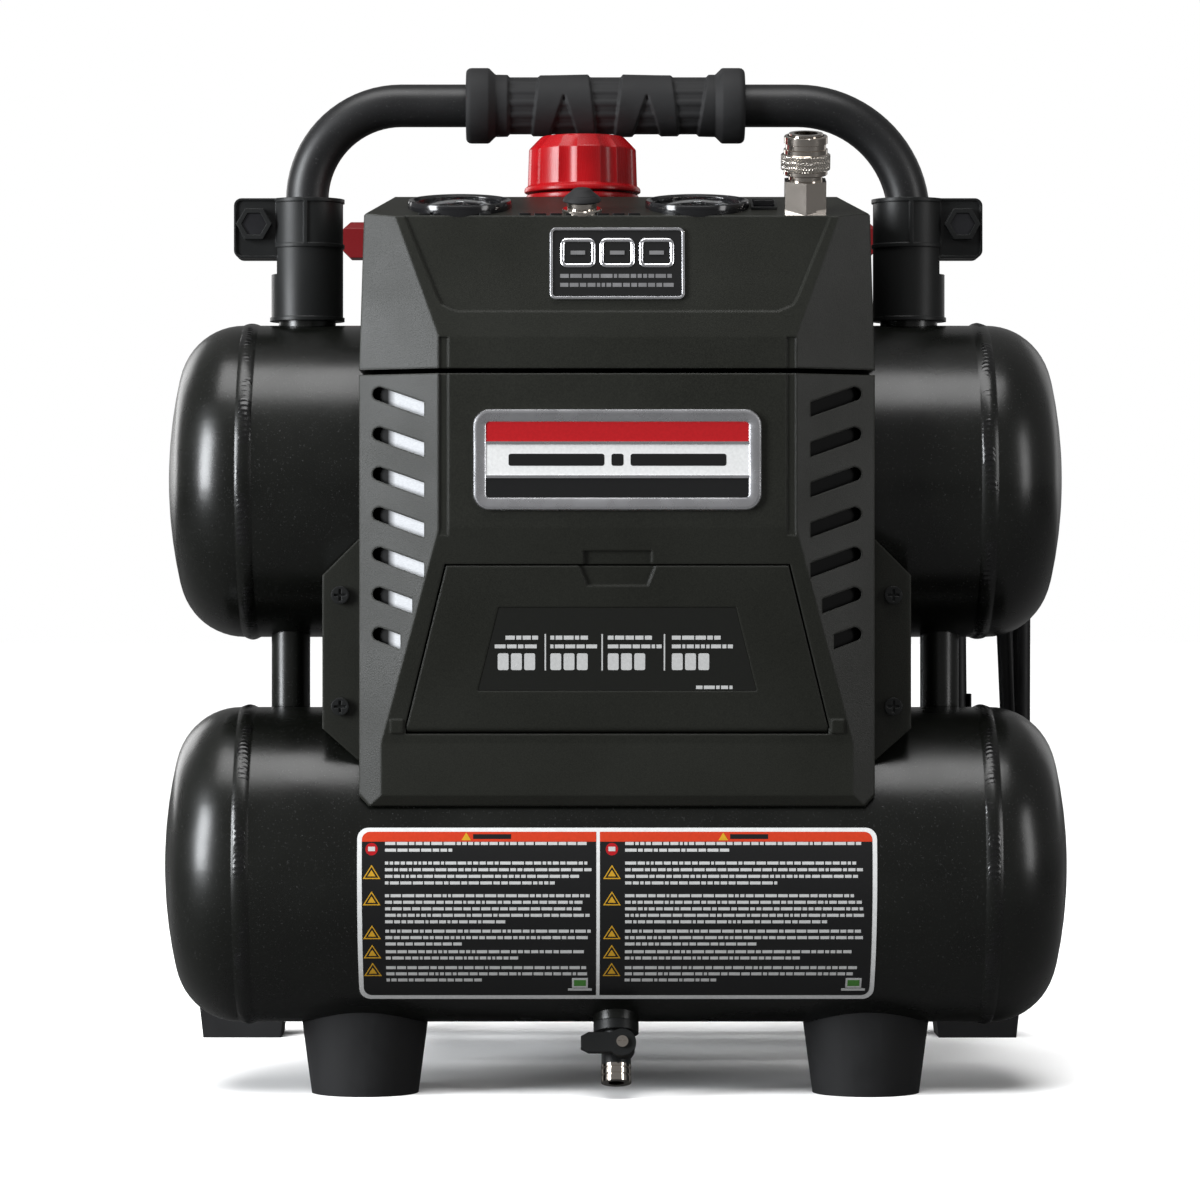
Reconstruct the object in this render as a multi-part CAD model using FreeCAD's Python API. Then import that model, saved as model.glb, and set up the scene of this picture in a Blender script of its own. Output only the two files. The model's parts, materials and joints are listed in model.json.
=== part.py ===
import FreeCAD, Part
import math
import os

# Twin-stack portable air compressor, in millimetres. +X is the operator's right hand when facing the
# console, -Y is the front, +Z is up, and Z = 0 is the floor. Everything is drawn with Y = 0 on the
# upper tank's axis and moved by SHIFT_Y when it is written, so that the origin ends up on the floor
# under the middle of the whole machine.

V = FreeCAD.Vector
SHIFT_Y = -101.5

# tanks
TANK_R = 81.0
TANK_L = 463.0
TANK_WALL = 2.0
CROWN_R = 240.0
KNUCKLE_R = 33.0
UPPER_Z = 315.4
LOWER_Z = 117.5
LOWER_Y = -25.0
BEAD_X = 188.5
BEAD_W = 8.5
BEAD_H = 1.1
SPACER_X = 168.0
SPACER_R = 10.0
SPACER_BORE = 8.0
PORT_R = 6.0
PORT_BOSS_R = 12.0
CHECK_VALVE_X = -40.0
LABEL_HALF = 129.8
LABEL_T = 0.35

# carry handle
POST_X = 156.6
HANDLE_SHIFT = -3.6
STUB_R = 14.85
STUB_WALL = 2.0
STUB_TOP = 436.0
TUBE_R = 11.1
TUBE_WALL = 1.5
TUBE_FOOT = 414.0
LEFT_BEND_R = 49.0
RIGHT_BEND_R = 58.0
HANDLE_Z = 511.0
GRIP_X = -5.0
GRIP_HALF = 72.5
GRIP_R = 15.4
COLLAR_R = 20.0
COLLAR_W = 15.0

# clamp connectors
SLEEVE_R = 18.65
SLEEVE_Z0 = 398.5
CLAMP_Z0 = 438.0
CLAMP_Z1 = 462.0
EAR_X = 194.1
EAR_Z0 = 431.0
EAR_HALF = 11.0
EAR_ROUND = 4.0
EAR_RIM = 1.2
NOTCH_H = 8.2
BOLT_X = 183.6
BOLT_Z = 448.5
BOLT_R = 3.0
BOLT_AF = 11.0
BOSS_AF = 16.0

# feet
FRONT_FOOT_X = 129.0
FOOT_TOP_R = 33.5
FOOT_BOTTOM_R = 27.5
FOOT_H = 45.0
REAR_FOOT_X = 213.5
REAR_FOOT_W = 51.0
REAR_FOOT_Y0 = 286.5
REAR_FOOT_Y1 = 324.5
REAR_FOOT_H = 26.0
STUD_R = 3.0
NUT_H = 5.0

# housing: the front field is the plane Y = FIELD_Y, and slanted side facets run back from its edges
FIELD_Y = -119.0
FIELD_HALF = 88.6
SIDE_X = 129.0
FACET_SLOPE = 0.5
FACET_Y = FIELD_Y + FACET_SLOPE * (SIDE_X - FIELD_HALF)
WALL = 3.0
TANK_GAP = 2.0

# console (upper cover)
CONSOLE_Z0 = 368.5
CREASE_Z = 384.0
LIP_Y = -108.0
LIP_Z = 444.8
DECK_Y = -54.0
DECK_Z = 459.0
CONSOLE_REAR_Y = 56.0
CONSOLE_TOP_X = 126.5
CREST_X = 112.5
POCKET_DEEP = 1.2
BORDER_W = 4.6
BORDER_DEEP = 0.8

# lower front cover
COVER_Z1 = 366.0
COVER_Z0 = 147.0
FOLD_HIGH_Z = 289.5
FOLD_LOW_Z = 182.0
FOLD_BACK = 14.6
COVER_REAR_Y = -58.0
SLOT_COUNT = 7
SLOT_PITCH = 20.0
SLOT_TOP_Z = 360.0
SLOT_H = 7.2
SLOT_OUT_X = 122.0
SLOT_IN_X = 96.0
SLOT_ANGLE = math.radians(20.0)
SLOT_END_R = SLOT_H / 2 * math.cos(SLOT_ANGLE)
SLOT_END_X = SLOT_OUT_X - SLOT_END_R
INSERT_BACK = 4.6

# storage door
DOOR_TOP_Z = 270.5
DOOR_TOP_HALF = 85.0
DOOR_BOTTOM_HALF = 105.0
HINGE_Z = 190.5
HINGE_R = 3.0
HINGE_PIN_R = 1.25
DOOR_GAP = 0.8

# deck furniture
GAUGE_X = (-79.0, 40.6)
GAUGE_R = 25.5
GAUGE_BACK = 27.0
GAUGE_PROUD = 1.8
DIAL_DEEP = 4.5
GAUGE_DEEP = 26.0
GAUGE_BODY_R = 23.5
LENS_DOME_R = 70.0
NEEDLE_PIN_R = 1.2
BUTTON_X = -17.5
BUTTON_BACK = 11.0
ROCKER_X = 74.0
ROCKER_BACK = 30.0
COUPLER_X = 94.2
COUPLER_BACK = 13.0
COUPLER_AF = 20.5
COUPLER_TOP = 39.6
COUPLER_NECK_R = 8.5
SOCKET_DEEP = 25.0
SOCKET_R = 6.0

# regulator
KNOB_X = -17.0
KNOB_Y = -24.0
KNOB_R = 28.2
KNOB_FLANGE_R = 30.0
KNOB_CROWN_R = 21.3
KNOB_Z0 = 463.2
KNOB_SHOULDER_Z = 486.2
KNOB_TOP_Z = 492.2
KNOB_FLUTES = 8
KNOB_SPINDLE_R = 5.0
REGULATOR_R = 19.0
BONNET_NECK_R = 13.0
MANIFOLD_Z0 = 402.0
MANIFOLD_Z1 = 422.0

# drain valve, hung from the lower tank and tipped forward
DRAIN_TILT = -20.0
DRAIN_TOP = LOWER_Z - TANK_R
DRAIN_COLLAR_R = 11.5
DRAIN_BODY_R = 7.5
DRAIN_BODY_L = 22.0
LEVER_X = 3.0
LEVER_T = 4.0
LEVER_SCREW_R = 1.6

# pump unit
PUMP_Y = 195.0
PUMP_Z = 175.0
MOTOR_R = 62.0
MOTOR_HALF = 56.0
MOTOR_WALL = 5.0
END_WALL = 11.0
SHAFT_R = 7.5
BEARING_R = 17.5
CASE_X0 = 57.0
CASE_X1 = 108.0
CASE_R = 46.0
CRANK_X = 82.0
ECCENTRIC = 10.0
ROD_L = 60.0
BORE_R = 24.0
BARREL_R = 27.0
BARREL_Z0 = 47.0
BARREL_H = 26.0
FIT = 0.05

# rear frame
RAIL_X = 120.0
RAIL_HALF = 10.0
UPRIGHT_Y0 = 297.0
UPRIGHT_Y1 = 317.0
CROSS_Z0 = REAR_FOOT_H
CROSS_Z1 = 40.0
BAR_Z = 464.0
BAR_HALF = 10.5
BAR_X = 156.0
PLATE_Z0 = 100.0
PLATE_T = 3.0

# cord
CORD_R = 4.0
CORD_X = 206.0
CORD_HALF = 18.0
CORD_TOP = 312.5
CORD_BOTTOM = 135.0
CORD_Y0 = 118.0
CORD_PITCH = 10.0
CORD_TURNS = 4
CORD_LEAD_Y = 14.0
CORD_END_Z = 195.0
LEAD_Z = 275.0
TERMINAL_Z = 256.0
HOOK_R = 4.0


# ---------------------------------------------------------------- helpers

def box(x0, x1, y0, y1, z0, z1):
    return Part.makeBox(x1 - x0, y1 - y0, z1 - z0, V(x0, y0, z0))


def cyl(x, y, z, r, h, axis=(0, 0, 1)):
    return Part.makeCylinder(r, h, V(x, y, z), V(*axis))


def ring(x, y, z, r_out, r_in, h, axis=(0, 0, 1)):
    return cyl(x, y, z, r_out, h, axis).cut(cyl(x, y, z, r_in, h, axis))


def cone(x, y, z, r0, r1, h, axis=(0, 0, 1)):
    return Part.makeCone(r0, r1, h, V(x, y, z), V(*axis))


def hexagon(x, y, z, across_flats, h, axis=(0, 0, 1)):
    """A hexagonal prism along Z or along Y."""
    r = across_flats / math.sqrt(3.0)
    along_z = axis == (0, 0, 1)
    corners = []
    for i in range(7):
        a = math.radians(60.0 * i)
        u = r * math.cos(a)
        w = r * math.sin(a)
        corners.append(V(x + u, y + w, z) if along_z else V(x + u, y, z + w))
    return Part.Face(Part.makePolygon(corners)).extrude(V(*axis) * h)


def prism_x(points, x0, x1):
    """Extrude a (y, z) outline along X."""
    loop = [V(x0, y, z) for y, z in points]
    return Part.Face(Part.makePolygon(loop + loop[:1])).extrude(V(x1 - x0, 0, 0))


def prism_y(points, y0, y1):
    """Extrude an (x, z) outline along Y."""
    loop = [V(x, y0, z) for x, z in points]
    return Part.Face(Part.makePolygon(loop + loop[:1])).extrude(V(0, y1 - y0, 0))


def prism_z(points, z0, z1):
    """Extrude an (x, y) outline along Z."""
    loop = [V(x, y, z0) for x, y in points]
    return Part.Face(Part.makePolygon(loop + loop[:1])).extrude(V(0, 0, z1 - z0))


def inset(points, t):
    """Move every side of an outline inward by t (outward when t is negative)."""
    count = len(points)
    area = 0.0
    for i in range(count):
        (x0, y0), (x1, y1) = points[i], points[(i + 1) % count]
        area += x0 * y1 - x1 * y0
    side = 1.0 if area > 0 else -1.0
    lines = []
    for i in range(count):
        (x0, y0), (x1, y1) = points[i], points[(i + 1) % count]
        length = math.hypot(x1 - x0, y1 - y0)
        dx, dy = (x1 - x0) / length, (y1 - y0) / length
        lines.append((x0 - side * dy * t, y0 + side * dx * t, dx, dy))
    corners = []
    for i in range(count):
        ax, ay, adx, ady = lines[i - 1]
        bx, by, bdx, bdy = lines[i]
        det = adx * bdy - ady * bdx
        s = ((bx - ax) * bdy - (by - ay) * bdx) / det
        corners.append((ax + s * adx, ay + s * ady))
    return corners


def fuse(*shapes):
    whole = shapes[0]
    for shape in shapes[1:]:
        whole = whole.fuse(shape)
    return whole.removeSplitter()


def mirror_x(shape):
    return shape.mirror(V(0, 0, 0), V(1, 0, 0))


def turned(shape, centre, axis, degrees):
    copy = shape.copy()
    copy.rotate(V(*centre), V(*axis), degrees)
    return copy


def moved(shape, x, y, z):
    copy = shape.copy()
    copy.translate(V(x, y, z))
    return copy


def revolve_x(edges):
    """Turn a closed outline in the XZ plane about the X axis."""
    face = Part.Face(Part.Wire(Part.__sortEdges__(edges)))
    return face.revolve(V(0, 0, 0), V(1, 0, 0), 360)


def pipe(points, r):
    """A round rod along a smooth curve through the points."""
    curve = Part.BSplineCurve()
    curve.interpolate([V(*p) for p in points])
    start = curve.value(curve.FirstParameter)
    direction = curve.tangent(curve.FirstParameter)[0]
    profile = Part.Wire([Part.makeCircle(r, start, direction)])
    return Part.Wire([curve.toShape()]).makePipeShell([profile], True, False)


def write(name, *shapes):
    solids = []
    for shape in shapes:
        solids.extend(shape.Solids)
    whole = solids[0] if len(solids) == 1 else Part.makeCompound(solids)
    moved(whole, 0, SHIFT_Y, 0).exportStep("parts/%s.step" % name)


# ---------------------------------------------------------------- tanks

def pressure_shape(r, length, crown, knuckle):
    """A closed cylinder with torispherical ends, lying along X about the origin."""
    half = length / 2.0
    head = crown - math.sqrt((crown - knuckle) ** 2 - (r - knuckle) ** 2)
    crown_c = V(half - crown, 0, 0)
    knuckle_c = V(half - head, 0, r - knuckle)
    along = (knuckle_c - crown_c).normalize()
    touch = crown_c + along * crown
    crown_angle = math.atan2(along.z, along.x)
    crown_mid = crown_c + V(math.cos(crown_angle / 2), 0, math.sin(crown_angle / 2)) * crown
    knuckle_angle = (crown_angle + math.pi / 2) / 2
    knuckle_mid = knuckle_c + V(math.cos(knuckle_angle), 0, math.sin(knuckle_angle)) * knuckle
    pole = V(half, 0, 0)
    shoulder = V(half - head, 0, r)

    def flip(p):
        return V(-p.x, 0, p.z)

    edges = [
        Part.Arc(pole, crown_mid, touch).toShape(),
        Part.Arc(touch, knuckle_mid, shoulder).toShape(),
        Part.makeLine(shoulder, flip(shoulder)),
        Part.Arc(flip(shoulder), flip(knuckle_mid), flip(touch)).toShape(),
        Part.Arc(flip(touch), flip(crown_mid), flip(pole)).toShape(),
        Part.makeLine(flip(pole), pole),
    ]
    return revolve_x(edges)


def weld_bead(x):
    """A low rounded ring round the tank where a head is welded on."""
    a = V(x - BEAD_W / 2, 0, TANK_R)
    b = V(x, 0, TANK_R + BEAD_H)
    c = V(x + BEAD_W / 2, 0, TANK_R)
    low_a = V(a.x, 0, TANK_R - 1.0)
    low_c = V(c.x, 0, TANK_R - 1.0)
    edges = [
        Part.Arc(a, b, c).toShape(),
        Part.makeLine(c, low_c),
        Part.makeLine(low_c, low_a),
        Part.makeLine(low_a, a),
    ]
    return revolve_x(edges)


plain_tank = pressure_shape(TANK_R, TANK_L, CROWN_R, KNUCKLE_R)
tank_air = pressure_shape(TANK_R - TANK_WALL, TANK_L - 2 * TANK_WALL,
                          CROWN_R - TANK_WALL, KNUCKLE_R - TANK_WALL)
tank_skin = fuse(plain_tank, weld_bead(BEAD_X), weld_bead(-BEAD_X))

upper_envelope = moved(plain_tank, 0, 0, UPPER_Z)
lower_envelope = moved(plain_tank, 0, LOWER_Y, LOWER_Z)
upper_room = cyl(-TANK_L / 2, 0, UPPER_Z, TANK_R + TANK_GAP, TANK_L, (1, 0, 0))
lower_room = cyl(-TANK_L / 2, LOWER_Y, LOWER_Z, TANK_R + TANK_GAP, TANK_L, (1, 0, 0))
spacer_y = LOWER_Y / 2

spacers = []
spacer_bores = []
for x in (-SPACER_X, SPACER_X):
    post = ring(x, spacer_y, LOWER_Z, SPACER_R, SPACER_BORE, UPPER_Z - LOWER_Z)
    spacers.append(post.cut(upper_envelope).cut(lower_envelope))
    spacer_bores.append(cyl(x, spacer_y, LOWER_Z, SPACER_BORE, UPPER_Z - LOWER_Z))

# threaded ports: one on top for the manifold, one at the back for the check valve, one for the drain
top_port = cyl(0, 0, UPPER_Z + TANK_R - 4, PORT_BOSS_R, MANIFOLD_Z0 - UPPER_Z - TANK_R + 4)
top_bore = cyl(0, 0, UPPER_Z + TANK_R - 8, PORT_R, 20)
rear_port = cyl(CHECK_VALVE_X, TANK_R - 4, UPPER_Z, PORT_BOSS_R, 10, (0, 1, 0))
rear_bore = cyl(CHECK_VALVE_X, TANK_R - 8, UPPER_Z, PORT_R, 20, (0, 1, 0))


def hung(shape):
    """Swing a shape drawn straight below the lower tank to the drain's forward tilt."""
    return turned(shape, (0, LOWER_Y, LOWER_Z), (1, 0, 0), DRAIN_TILT)


drain_port = hung(cyl(0, LOWER_Y, DRAIN_TOP - 4, DRAIN_COLLAR_R, 8))
drain_bore = hung(cyl(0, LOWER_Y, DRAIN_TOP - 6, PORT_R, 16))

upper_tank = fuse(moved(tank_skin, 0, 0, UPPER_Z), top_port, rear_port)
upper_tank = upper_tank.cut(moved(tank_air, 0, 0, UPPER_Z)).cut(top_bore).cut(rear_bore)
lower_tank = fuse(moved(tank_skin, 0, LOWER_Y, LOWER_Z), drain_port)
for x in (-FRONT_FOOT_X, FRONT_FOOT_X):
    lower_tank = lower_tank.fuse(cyl(x, LOWER_Y, 14, STUD_R, LOWER_Z - TANK_R - 12))
lower_tank = lower_tank.cut(moved(tank_air, 0, LOWER_Y, LOWER_Z)).cut(drain_bore)
for bore in spacer_bores:
    upper_tank = upper_tank.cut(bore)
    lower_tank = lower_tank.cut(bore)

# ---------------------------------------------------------------- feet

foot_nut_z = 15.0
front_feet = []
front_nuts = []
for x in (-FRONT_FOOT_X, FRONT_FOOT_X):
    foot = cone(x, LOWER_Y, 0, FOOT_BOTTOM_R, FOOT_TOP_R, FOOT_H).cut(lower_envelope)
    foot = foot.cut(cyl(x, LOWER_Y, 0, STUD_R, FOOT_H)).cut(cyl(x, LOWER_Y, 0, 9, foot_nut_z + NUT_H))
    front_feet.append(foot)
    nut = hexagon(x, LOWER_Y, foot_nut_z, BOLT_AF, NUT_H)
    front_nuts.append(nut.cut(cyl(x, LOWER_Y, foot_nut_z, STUD_R, NUT_H)))

rear_foot_y = (REAR_FOOT_Y0 + REAR_FOOT_Y1) / 2
rear_feet = []
rear_nuts = []
for x in (-REAR_FOOT_X, REAR_FOOT_X):
    half = REAR_FOOT_W / 2
    taper = 3.0
    outline = [(x - half + taper, 0), (x + half - taper, 0), (x + half, REAR_FOOT_H), (x - half, REAR_FOOT_H)]
    foot = prism_y(outline, REAR_FOOT_Y0, REAR_FOOT_Y1)
    foot = foot.cut(cyl(x, rear_foot_y, 0, STUD_R, REAR_FOOT_H))
    rear_feet.append(foot.cut(cyl(x, rear_foot_y, 0, 9, foot_nut_z)))
    nut = hexagon(x, rear_foot_y, foot_nut_z - NUT_H, BOLT_AF, NUT_H)
    rear_nuts.append(nut.cut(cyl(x, rear_foot_y, 0, STUD_R, foot_nut_z)))

# ---------------------------------------------------------------- rear frame and red lift bar

frame_parts = [box(-REAR_FOOT_X - 22, REAR_FOOT_X + 22, UPRIGHT_Y0, UPRIGHT_Y1, CROSS_Z0, CROSS_Z1)]
for side in (-1, 1):
    x0 = side * RAIL_X - RAIL_HALF
    x1 = side * RAIL_X + RAIL_HALF
    frame_parts.append(box(x0, x1, UPRIGHT_Y0, UPRIGHT_Y1, CROSS_Z1, BAR_Z - BAR_HALF))
    frame_parts.append(box(x0, x1, LOWER_Y, UPRIGHT_Y0, 70, 82).cut(lower_envelope))
    frame_parts.append(box(x0, x1, 0, UPRIGHT_Y0, UPPER_Z - 6, UPPER_Z + 6).cut(upper_envelope))
    frame_parts.append(cyl(side * REAR_FOOT_X, rear_foot_y, 8, STUD_R, CROSS_Z0 - 8))
rear_frame = fuse(*frame_parts)
for x in (-RAIL_X, RAIL_X):
    rear_frame = rear_frame.cut(cyl(x, (UPRIGHT_Y0 + UPRIGHT_Y1) / 2, BAR_Z - BAR_HALF - 20, 2.5, 20))

bar_mid_y = (UPRIGHT_Y0 + UPRIGHT_Y1) / 2
cut_corner = 5.0
bar_half_y = 11.0
bar_outline = [(-BAR_X, BAR_Z - BAR_HALF + cut_corner), (-BAR_X + cut_corner, BAR_Z - BAR_HALF),
               (BAR_X - cut_corner, BAR_Z - BAR_HALF), (BAR_X, BAR_Z - BAR_HALF + cut_corner),
               (BAR_X, BAR_Z + BAR_HALF - cut_corner), (BAR_X - cut_corner, BAR_Z + BAR_HALF),
               (-BAR_X + cut_corner, BAR_Z + BAR_HALF), (-BAR_X, BAR_Z + BAR_HALF - cut_corner)]
bar_section = [(bar_mid_y - bar_half_y, BAR_Z - BAR_HALF), (bar_mid_y + bar_half_y, BAR_Z - BAR_HALF),
               (bar_mid_y + bar_half_y, BAR_Z + BAR_HALF - 4), (bar_mid_y + bar_half_y - 4, BAR_Z + BAR_HALF),
               (bar_mid_y - bar_half_y + 4, BAR_Z + BAR_HALF), (bar_mid_y - bar_half_y, BAR_Z + BAR_HALF - 4)]
rear_handle = prism_y(bar_outline, bar_mid_y - bar_half_y, bar_mid_y + bar_half_y)
rear_handle = rear_handle.common(prism_x(bar_section, -BAR_X, BAR_X))
bar_screws = []
for x in (-RAIL_X, RAIL_X):
    rear_handle = rear_handle.cut(cyl(x, bar_mid_y, BAR_Z - BAR_HALF, 2.5, 2 * BAR_HALF))
    rear_handle = rear_handle.cut(cyl(x, bar_mid_y, BAR_Z + BAR_HALF - 4, 5.5, 4))
    screw = cyl(x, bar_mid_y, BAR_Z - BAR_HALF - 15, 2.5, 2 * BAR_HALF + 11)
    head = cyl(x, bar_mid_y, BAR_Z + BAR_HALF - 4, 5, 3.5)
    head = head.cut(hexagon(x, bar_mid_y, BAR_Z + BAR_HALF - 2.5, 4, 3))
    bar_screws.append(fuse(screw, head))

# ---------------------------------------------------------------- carry handle

stubs = []
for x in (HANDLE_SHIFT - POST_X, HANDLE_SHIFT + POST_X):
    stub = ring(x, 0, UPPER_Z, STUB_R, STUB_R - STUB_WALL, STUB_TOP - UPPER_Z)
    stubs.append(stub.cut(upper_envelope))


def handle_rod(r):
    """A rod along the handle's path: up, over a left bend and a wider right bend, and down."""
    edges = []
    corners = []
    for side, bend in ((-1, LEFT_BEND_R), (1, RIGHT_BEND_R)):
        bend_z = HANDLE_Z - bend
        turn_x = POST_X - bend
        off = bend * math.sin(math.radians(45))
        mid = V(side * (turn_x + off), 0, bend_z + off)
        low = V(side * POST_X, 0, bend_z)
        high = V(side * turn_x, 0, HANDLE_Z)
        corners.append(high)
        edges.append(Part.makeLine(V(side * POST_X, 0, TUBE_FOOT), low))
        edges.append(Part.Arc(low, mid, high).toShape())
    edges.append(Part.makeLine(corners[0], corners[1]))
    path = Part.Wire(Part.__sortEdges__(edges))
    start = Part.Wire([Part.makeCircle(r, V(-POST_X, 0, TUBE_FOOT), V(0, 0, 1))])
    return path.makePipeShell([start], True, False)


handle_tube = moved(handle_rod(TUBE_R).cut(handle_rod(TUBE_R - TUBE_WALL)), HANDLE_SHIFT, 0, 0)

grip_x0 = GRIP_X - GRIP_HALF
chamfer = 4.5
grip = cyl(grip_x0, 0, HANDLE_Z, GRIP_R, 2 * GRIP_HALF, (1, 0, 0))
for x in (grip_x0, GRIP_X + GRIP_HALF - COLLAR_W):
    grip = grip.fuse(cone(x, 0, HANDLE_Z, COLLAR_R - chamfer, COLLAR_R, chamfer, (1, 0, 0)))
    grip = grip.fuse(cyl(x + chamfer, 0, HANDLE_Z, COLLAR_R, COLLAR_W - 2 * chamfer, (1, 0, 0)))
    inner_x = x + COLLAR_W - chamfer
    grip = grip.fuse(cone(inner_x, 0, HANDLE_Z, COLLAR_R, COLLAR_R - chamfer, chamfer, (1, 0, 0)))
grip = grip.cut(cyl(grip_x0, 0, HANDLE_Z, TUBE_R, 2 * GRIP_HALF, (1, 0, 0)))


def connector():
    """The right-hand clamp: a sleeve over the stub and a split ring round the handle tube."""
    body = cyl(POST_X, 0, SLEEVE_Z0, SLEEVE_R, CLAMP_Z1 - SLEEVE_Z0)
    for z in (SLEEVE_Z0, CLAMP_Z0 - 1.5, CLAMP_Z1 - 2.0):
        body = body.fuse(cyl(POST_X, 0, z, SLEEVE_R + 0.8, 2.0))
    # below the ear the sleeve steps in on its outer side
    notch = box(POST_X + SLEEVE_R - 3.4, EAR_X + 10, -30, 30, EAR_Z0 - NOTCH_H, EAR_Z0)
    body = body.cut(notch)
    ear = box(POST_X, EAR_X, -EAR_HALF, EAR_HALF, EAR_Z0, CLAMP_Z1)
    outer_edges = [e for e in ear.Edges if e.BoundBox.XMin > EAR_X - 1 and e.BoundBox.YLength > 1]
    body = body.fuse(ear.makeFillet(EAR_ROUND, outer_edges))
    recess = box(POST_X + SLEEVE_R - 6, EAR_X - EAR_RIM, 0, EAR_RIM, EAR_Z0 + EAR_RIM, CLAMP_Z1 - EAR_RIM)
    corners = [e for e in recess.Edges if e.BoundBox.XMin > EAR_X - 3 and e.BoundBox.YLength > 1]
    recess = recess.makeFillet(EAR_ROUND - EAR_RIM, corners)
    body = body.cut(moved(recess, 0, -EAR_HALF, 0)).cut(moved(recess, 0, EAR_HALF - EAR_RIM, 0))
    body = body.fuse(cyl(POST_X, 0, CLAMP_Z0 - 1, SLEEVE_R, CLAMP_Z1 - CLAMP_Z0 + 1))
    for y in (-SLEEVE_R - 0.8, SLEEVE_R - 1):
        body = body.fuse(box(POST_X - 1, POST_X + 1, y, y + 1.8, CLAMP_Z0, CLAMP_Z1))
    for y in (-EAR_HALF - 3, EAR_HALF - EAR_RIM - 0.5):
        body = body.fuse(hexagon(BOLT_X, y, BOLT_Z, BOSS_AF, EAR_RIM + 3.5, (0, 1, 0)))
    body = body.cut(cyl(POST_X, 0, SLEEVE_Z0, STUB_R, STUB_TOP - SLEEVE_Z0 + 1))
    body = body.cut(cyl(POST_X, 0, SLEEVE_Z0, TUBE_R, 100))
    # the mouth is relieved, because the tube starts to bend just inside it
    body = body.cut(cyl(POST_X, 0, HANDLE_Z - RIGHT_BEND_R - 1, TUBE_R + 0.9, 20))
    body = body.cut(box(POST_X, EAR_X + 1, -1, 1, EAR_Z0 - 1, CLAMP_Z1 + 1))
    body = body.cut(cyl(BOLT_X, -30, BOLT_Z, BOLT_R, 60, (0, 1, 0)))
    body = body.cut(hexagon(BOLT_X, -EAR_HALF - 3, BOLT_Z, BOLT_AF + 0.1, 5, (0, 1, 0)))
    return body.cut(hexagon(BOLT_X, EAR_HALF - 2, BOLT_Z, BOLT_AF + 0.1, 5, (0, 1, 0)))


def clamp_bolt():
    shank = cyl(BOLT_X, -EAR_HALF - 1, BOLT_Z, BOLT_R, 2 * EAR_HALF + 3, (0, 1, 0))
    return fuse(shank, hexagon(BOLT_X, -EAR_HALF - 2, BOLT_Z, BOLT_AF, 4, (0, 1, 0)))


def clamp_nut():
    nut = hexagon(BOLT_X, EAR_HALF - 2, BOLT_Z, BOLT_AF, NUT_H, (0, 1, 0))
    return nut.cut(cyl(BOLT_X, EAR_HALF - 2, BOLT_Z, BOLT_R, NUT_H, (0, 1, 0)))


def both_posts(shape):
    """The right-hand piece and its mirror image, at the handle's two posts."""
    return [moved(shape, HANDLE_SHIFT, 0, 0), moved(mirror_x(shape), HANDLE_SHIFT, 0, 0)]


# ---------------------------------------------------------------- housing

plan = [(-SIDE_X, FACET_Y), (-FIELD_HALF, FIELD_Y), (FIELD_HALF, FIELD_Y), (SIDE_X, FACET_Y),
        (SIDE_X, CONSOLE_REAR_Y), (-SIDE_X, CONSOLE_REAR_Y)]


def housing_block(profile, front, t):
    """The volume inside a side profile, a front outline and the plan, all moved inward by t."""
    block = prism_x(inset(profile, t), -300, 300)
    block = block.common(prism_z(inset(plan, t), 0, 600))
    return block.common(prism_y(inset(front, t), -300, 300))


# console
console_front = [(-SIDE_X, 300), (SIDE_X, 300), (SIDE_X, CONSOLE_Z0), (CONSOLE_TOP_X, LIP_Z + 1),
                 (CREST_X, DECK_Z), (CREST_X, DECK_Z + 20), (-CREST_X, DECK_Z + 20),
                 (-CREST_X, DECK_Z), (-CONSOLE_TOP_X, LIP_Z + 1), (-SIDE_X, CONSOLE_Z0)]
console_side = [(FIELD_Y, 300), (FIELD_Y, CREASE_Z), (LIP_Y, LIP_Z), (DECK_Y, DECK_Z),
                (CONSOLE_REAR_Y, DECK_Z), (CONSOLE_REAR_Y, 300)]
console = housing_block(console_side, console_front, 0)
console = console.cut(housing_block(console_side, console_front, WALL))
console = console.common(box(-300, 300, -300, 300, CONSOLE_Z0, 600)).cut(upper_room)
console = console.cut(box(10, 66, CONSOLE_REAR_Y - 10, CONSOLE_REAR_Y + 10, 404, 448))


def border(z0, z1):
    """A shallow upright groove just inside the crease between the field and the right facet."""
    return box(FIELD_HALF - BORDER_W, FIELD_HALF, FIELD_Y - 5, FIELD_Y + BORDER_DEEP, z0, z1)


for side in (border(CONSOLE_Z0 - 1, CREASE_Z), mirror_x(border(CONSOLE_Z0 - 1, CREASE_Z))):
    console = console.cut(side)

deck_tilt = math.degrees(math.atan2(DECK_Z - LIP_Z, DECK_Y - LIP_Y))


def on_deck(shape, x, back):
    """Stand a shape drawn about the origin on the deck, `back` behind the front lip."""
    copy = turned(shape, (0, 0, 0), (1, 0, 0), deck_tilt)
    a = math.radians(deck_tilt)
    return moved(copy, x, LIP_Y + back * math.cos(a), LIP_Z + back * math.sin(a))


field_tilt = -math.degrees(math.atan2(LIP_Y - FIELD_Y, LIP_Z - CREASE_Z))


def on_console_face(shape, z):
    """Lay a plate drawn upright at Y = 0 (front face towards -Y) on the console's sloping face."""
    y = FIELD_Y + (z - CREASE_Z) * (LIP_Y - FIELD_Y) / (LIP_Z - CREASE_Z)
    return moved(turned(shape, (0, 0, 0), (1, 0, 0), field_tilt), 0, y, z)


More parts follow.
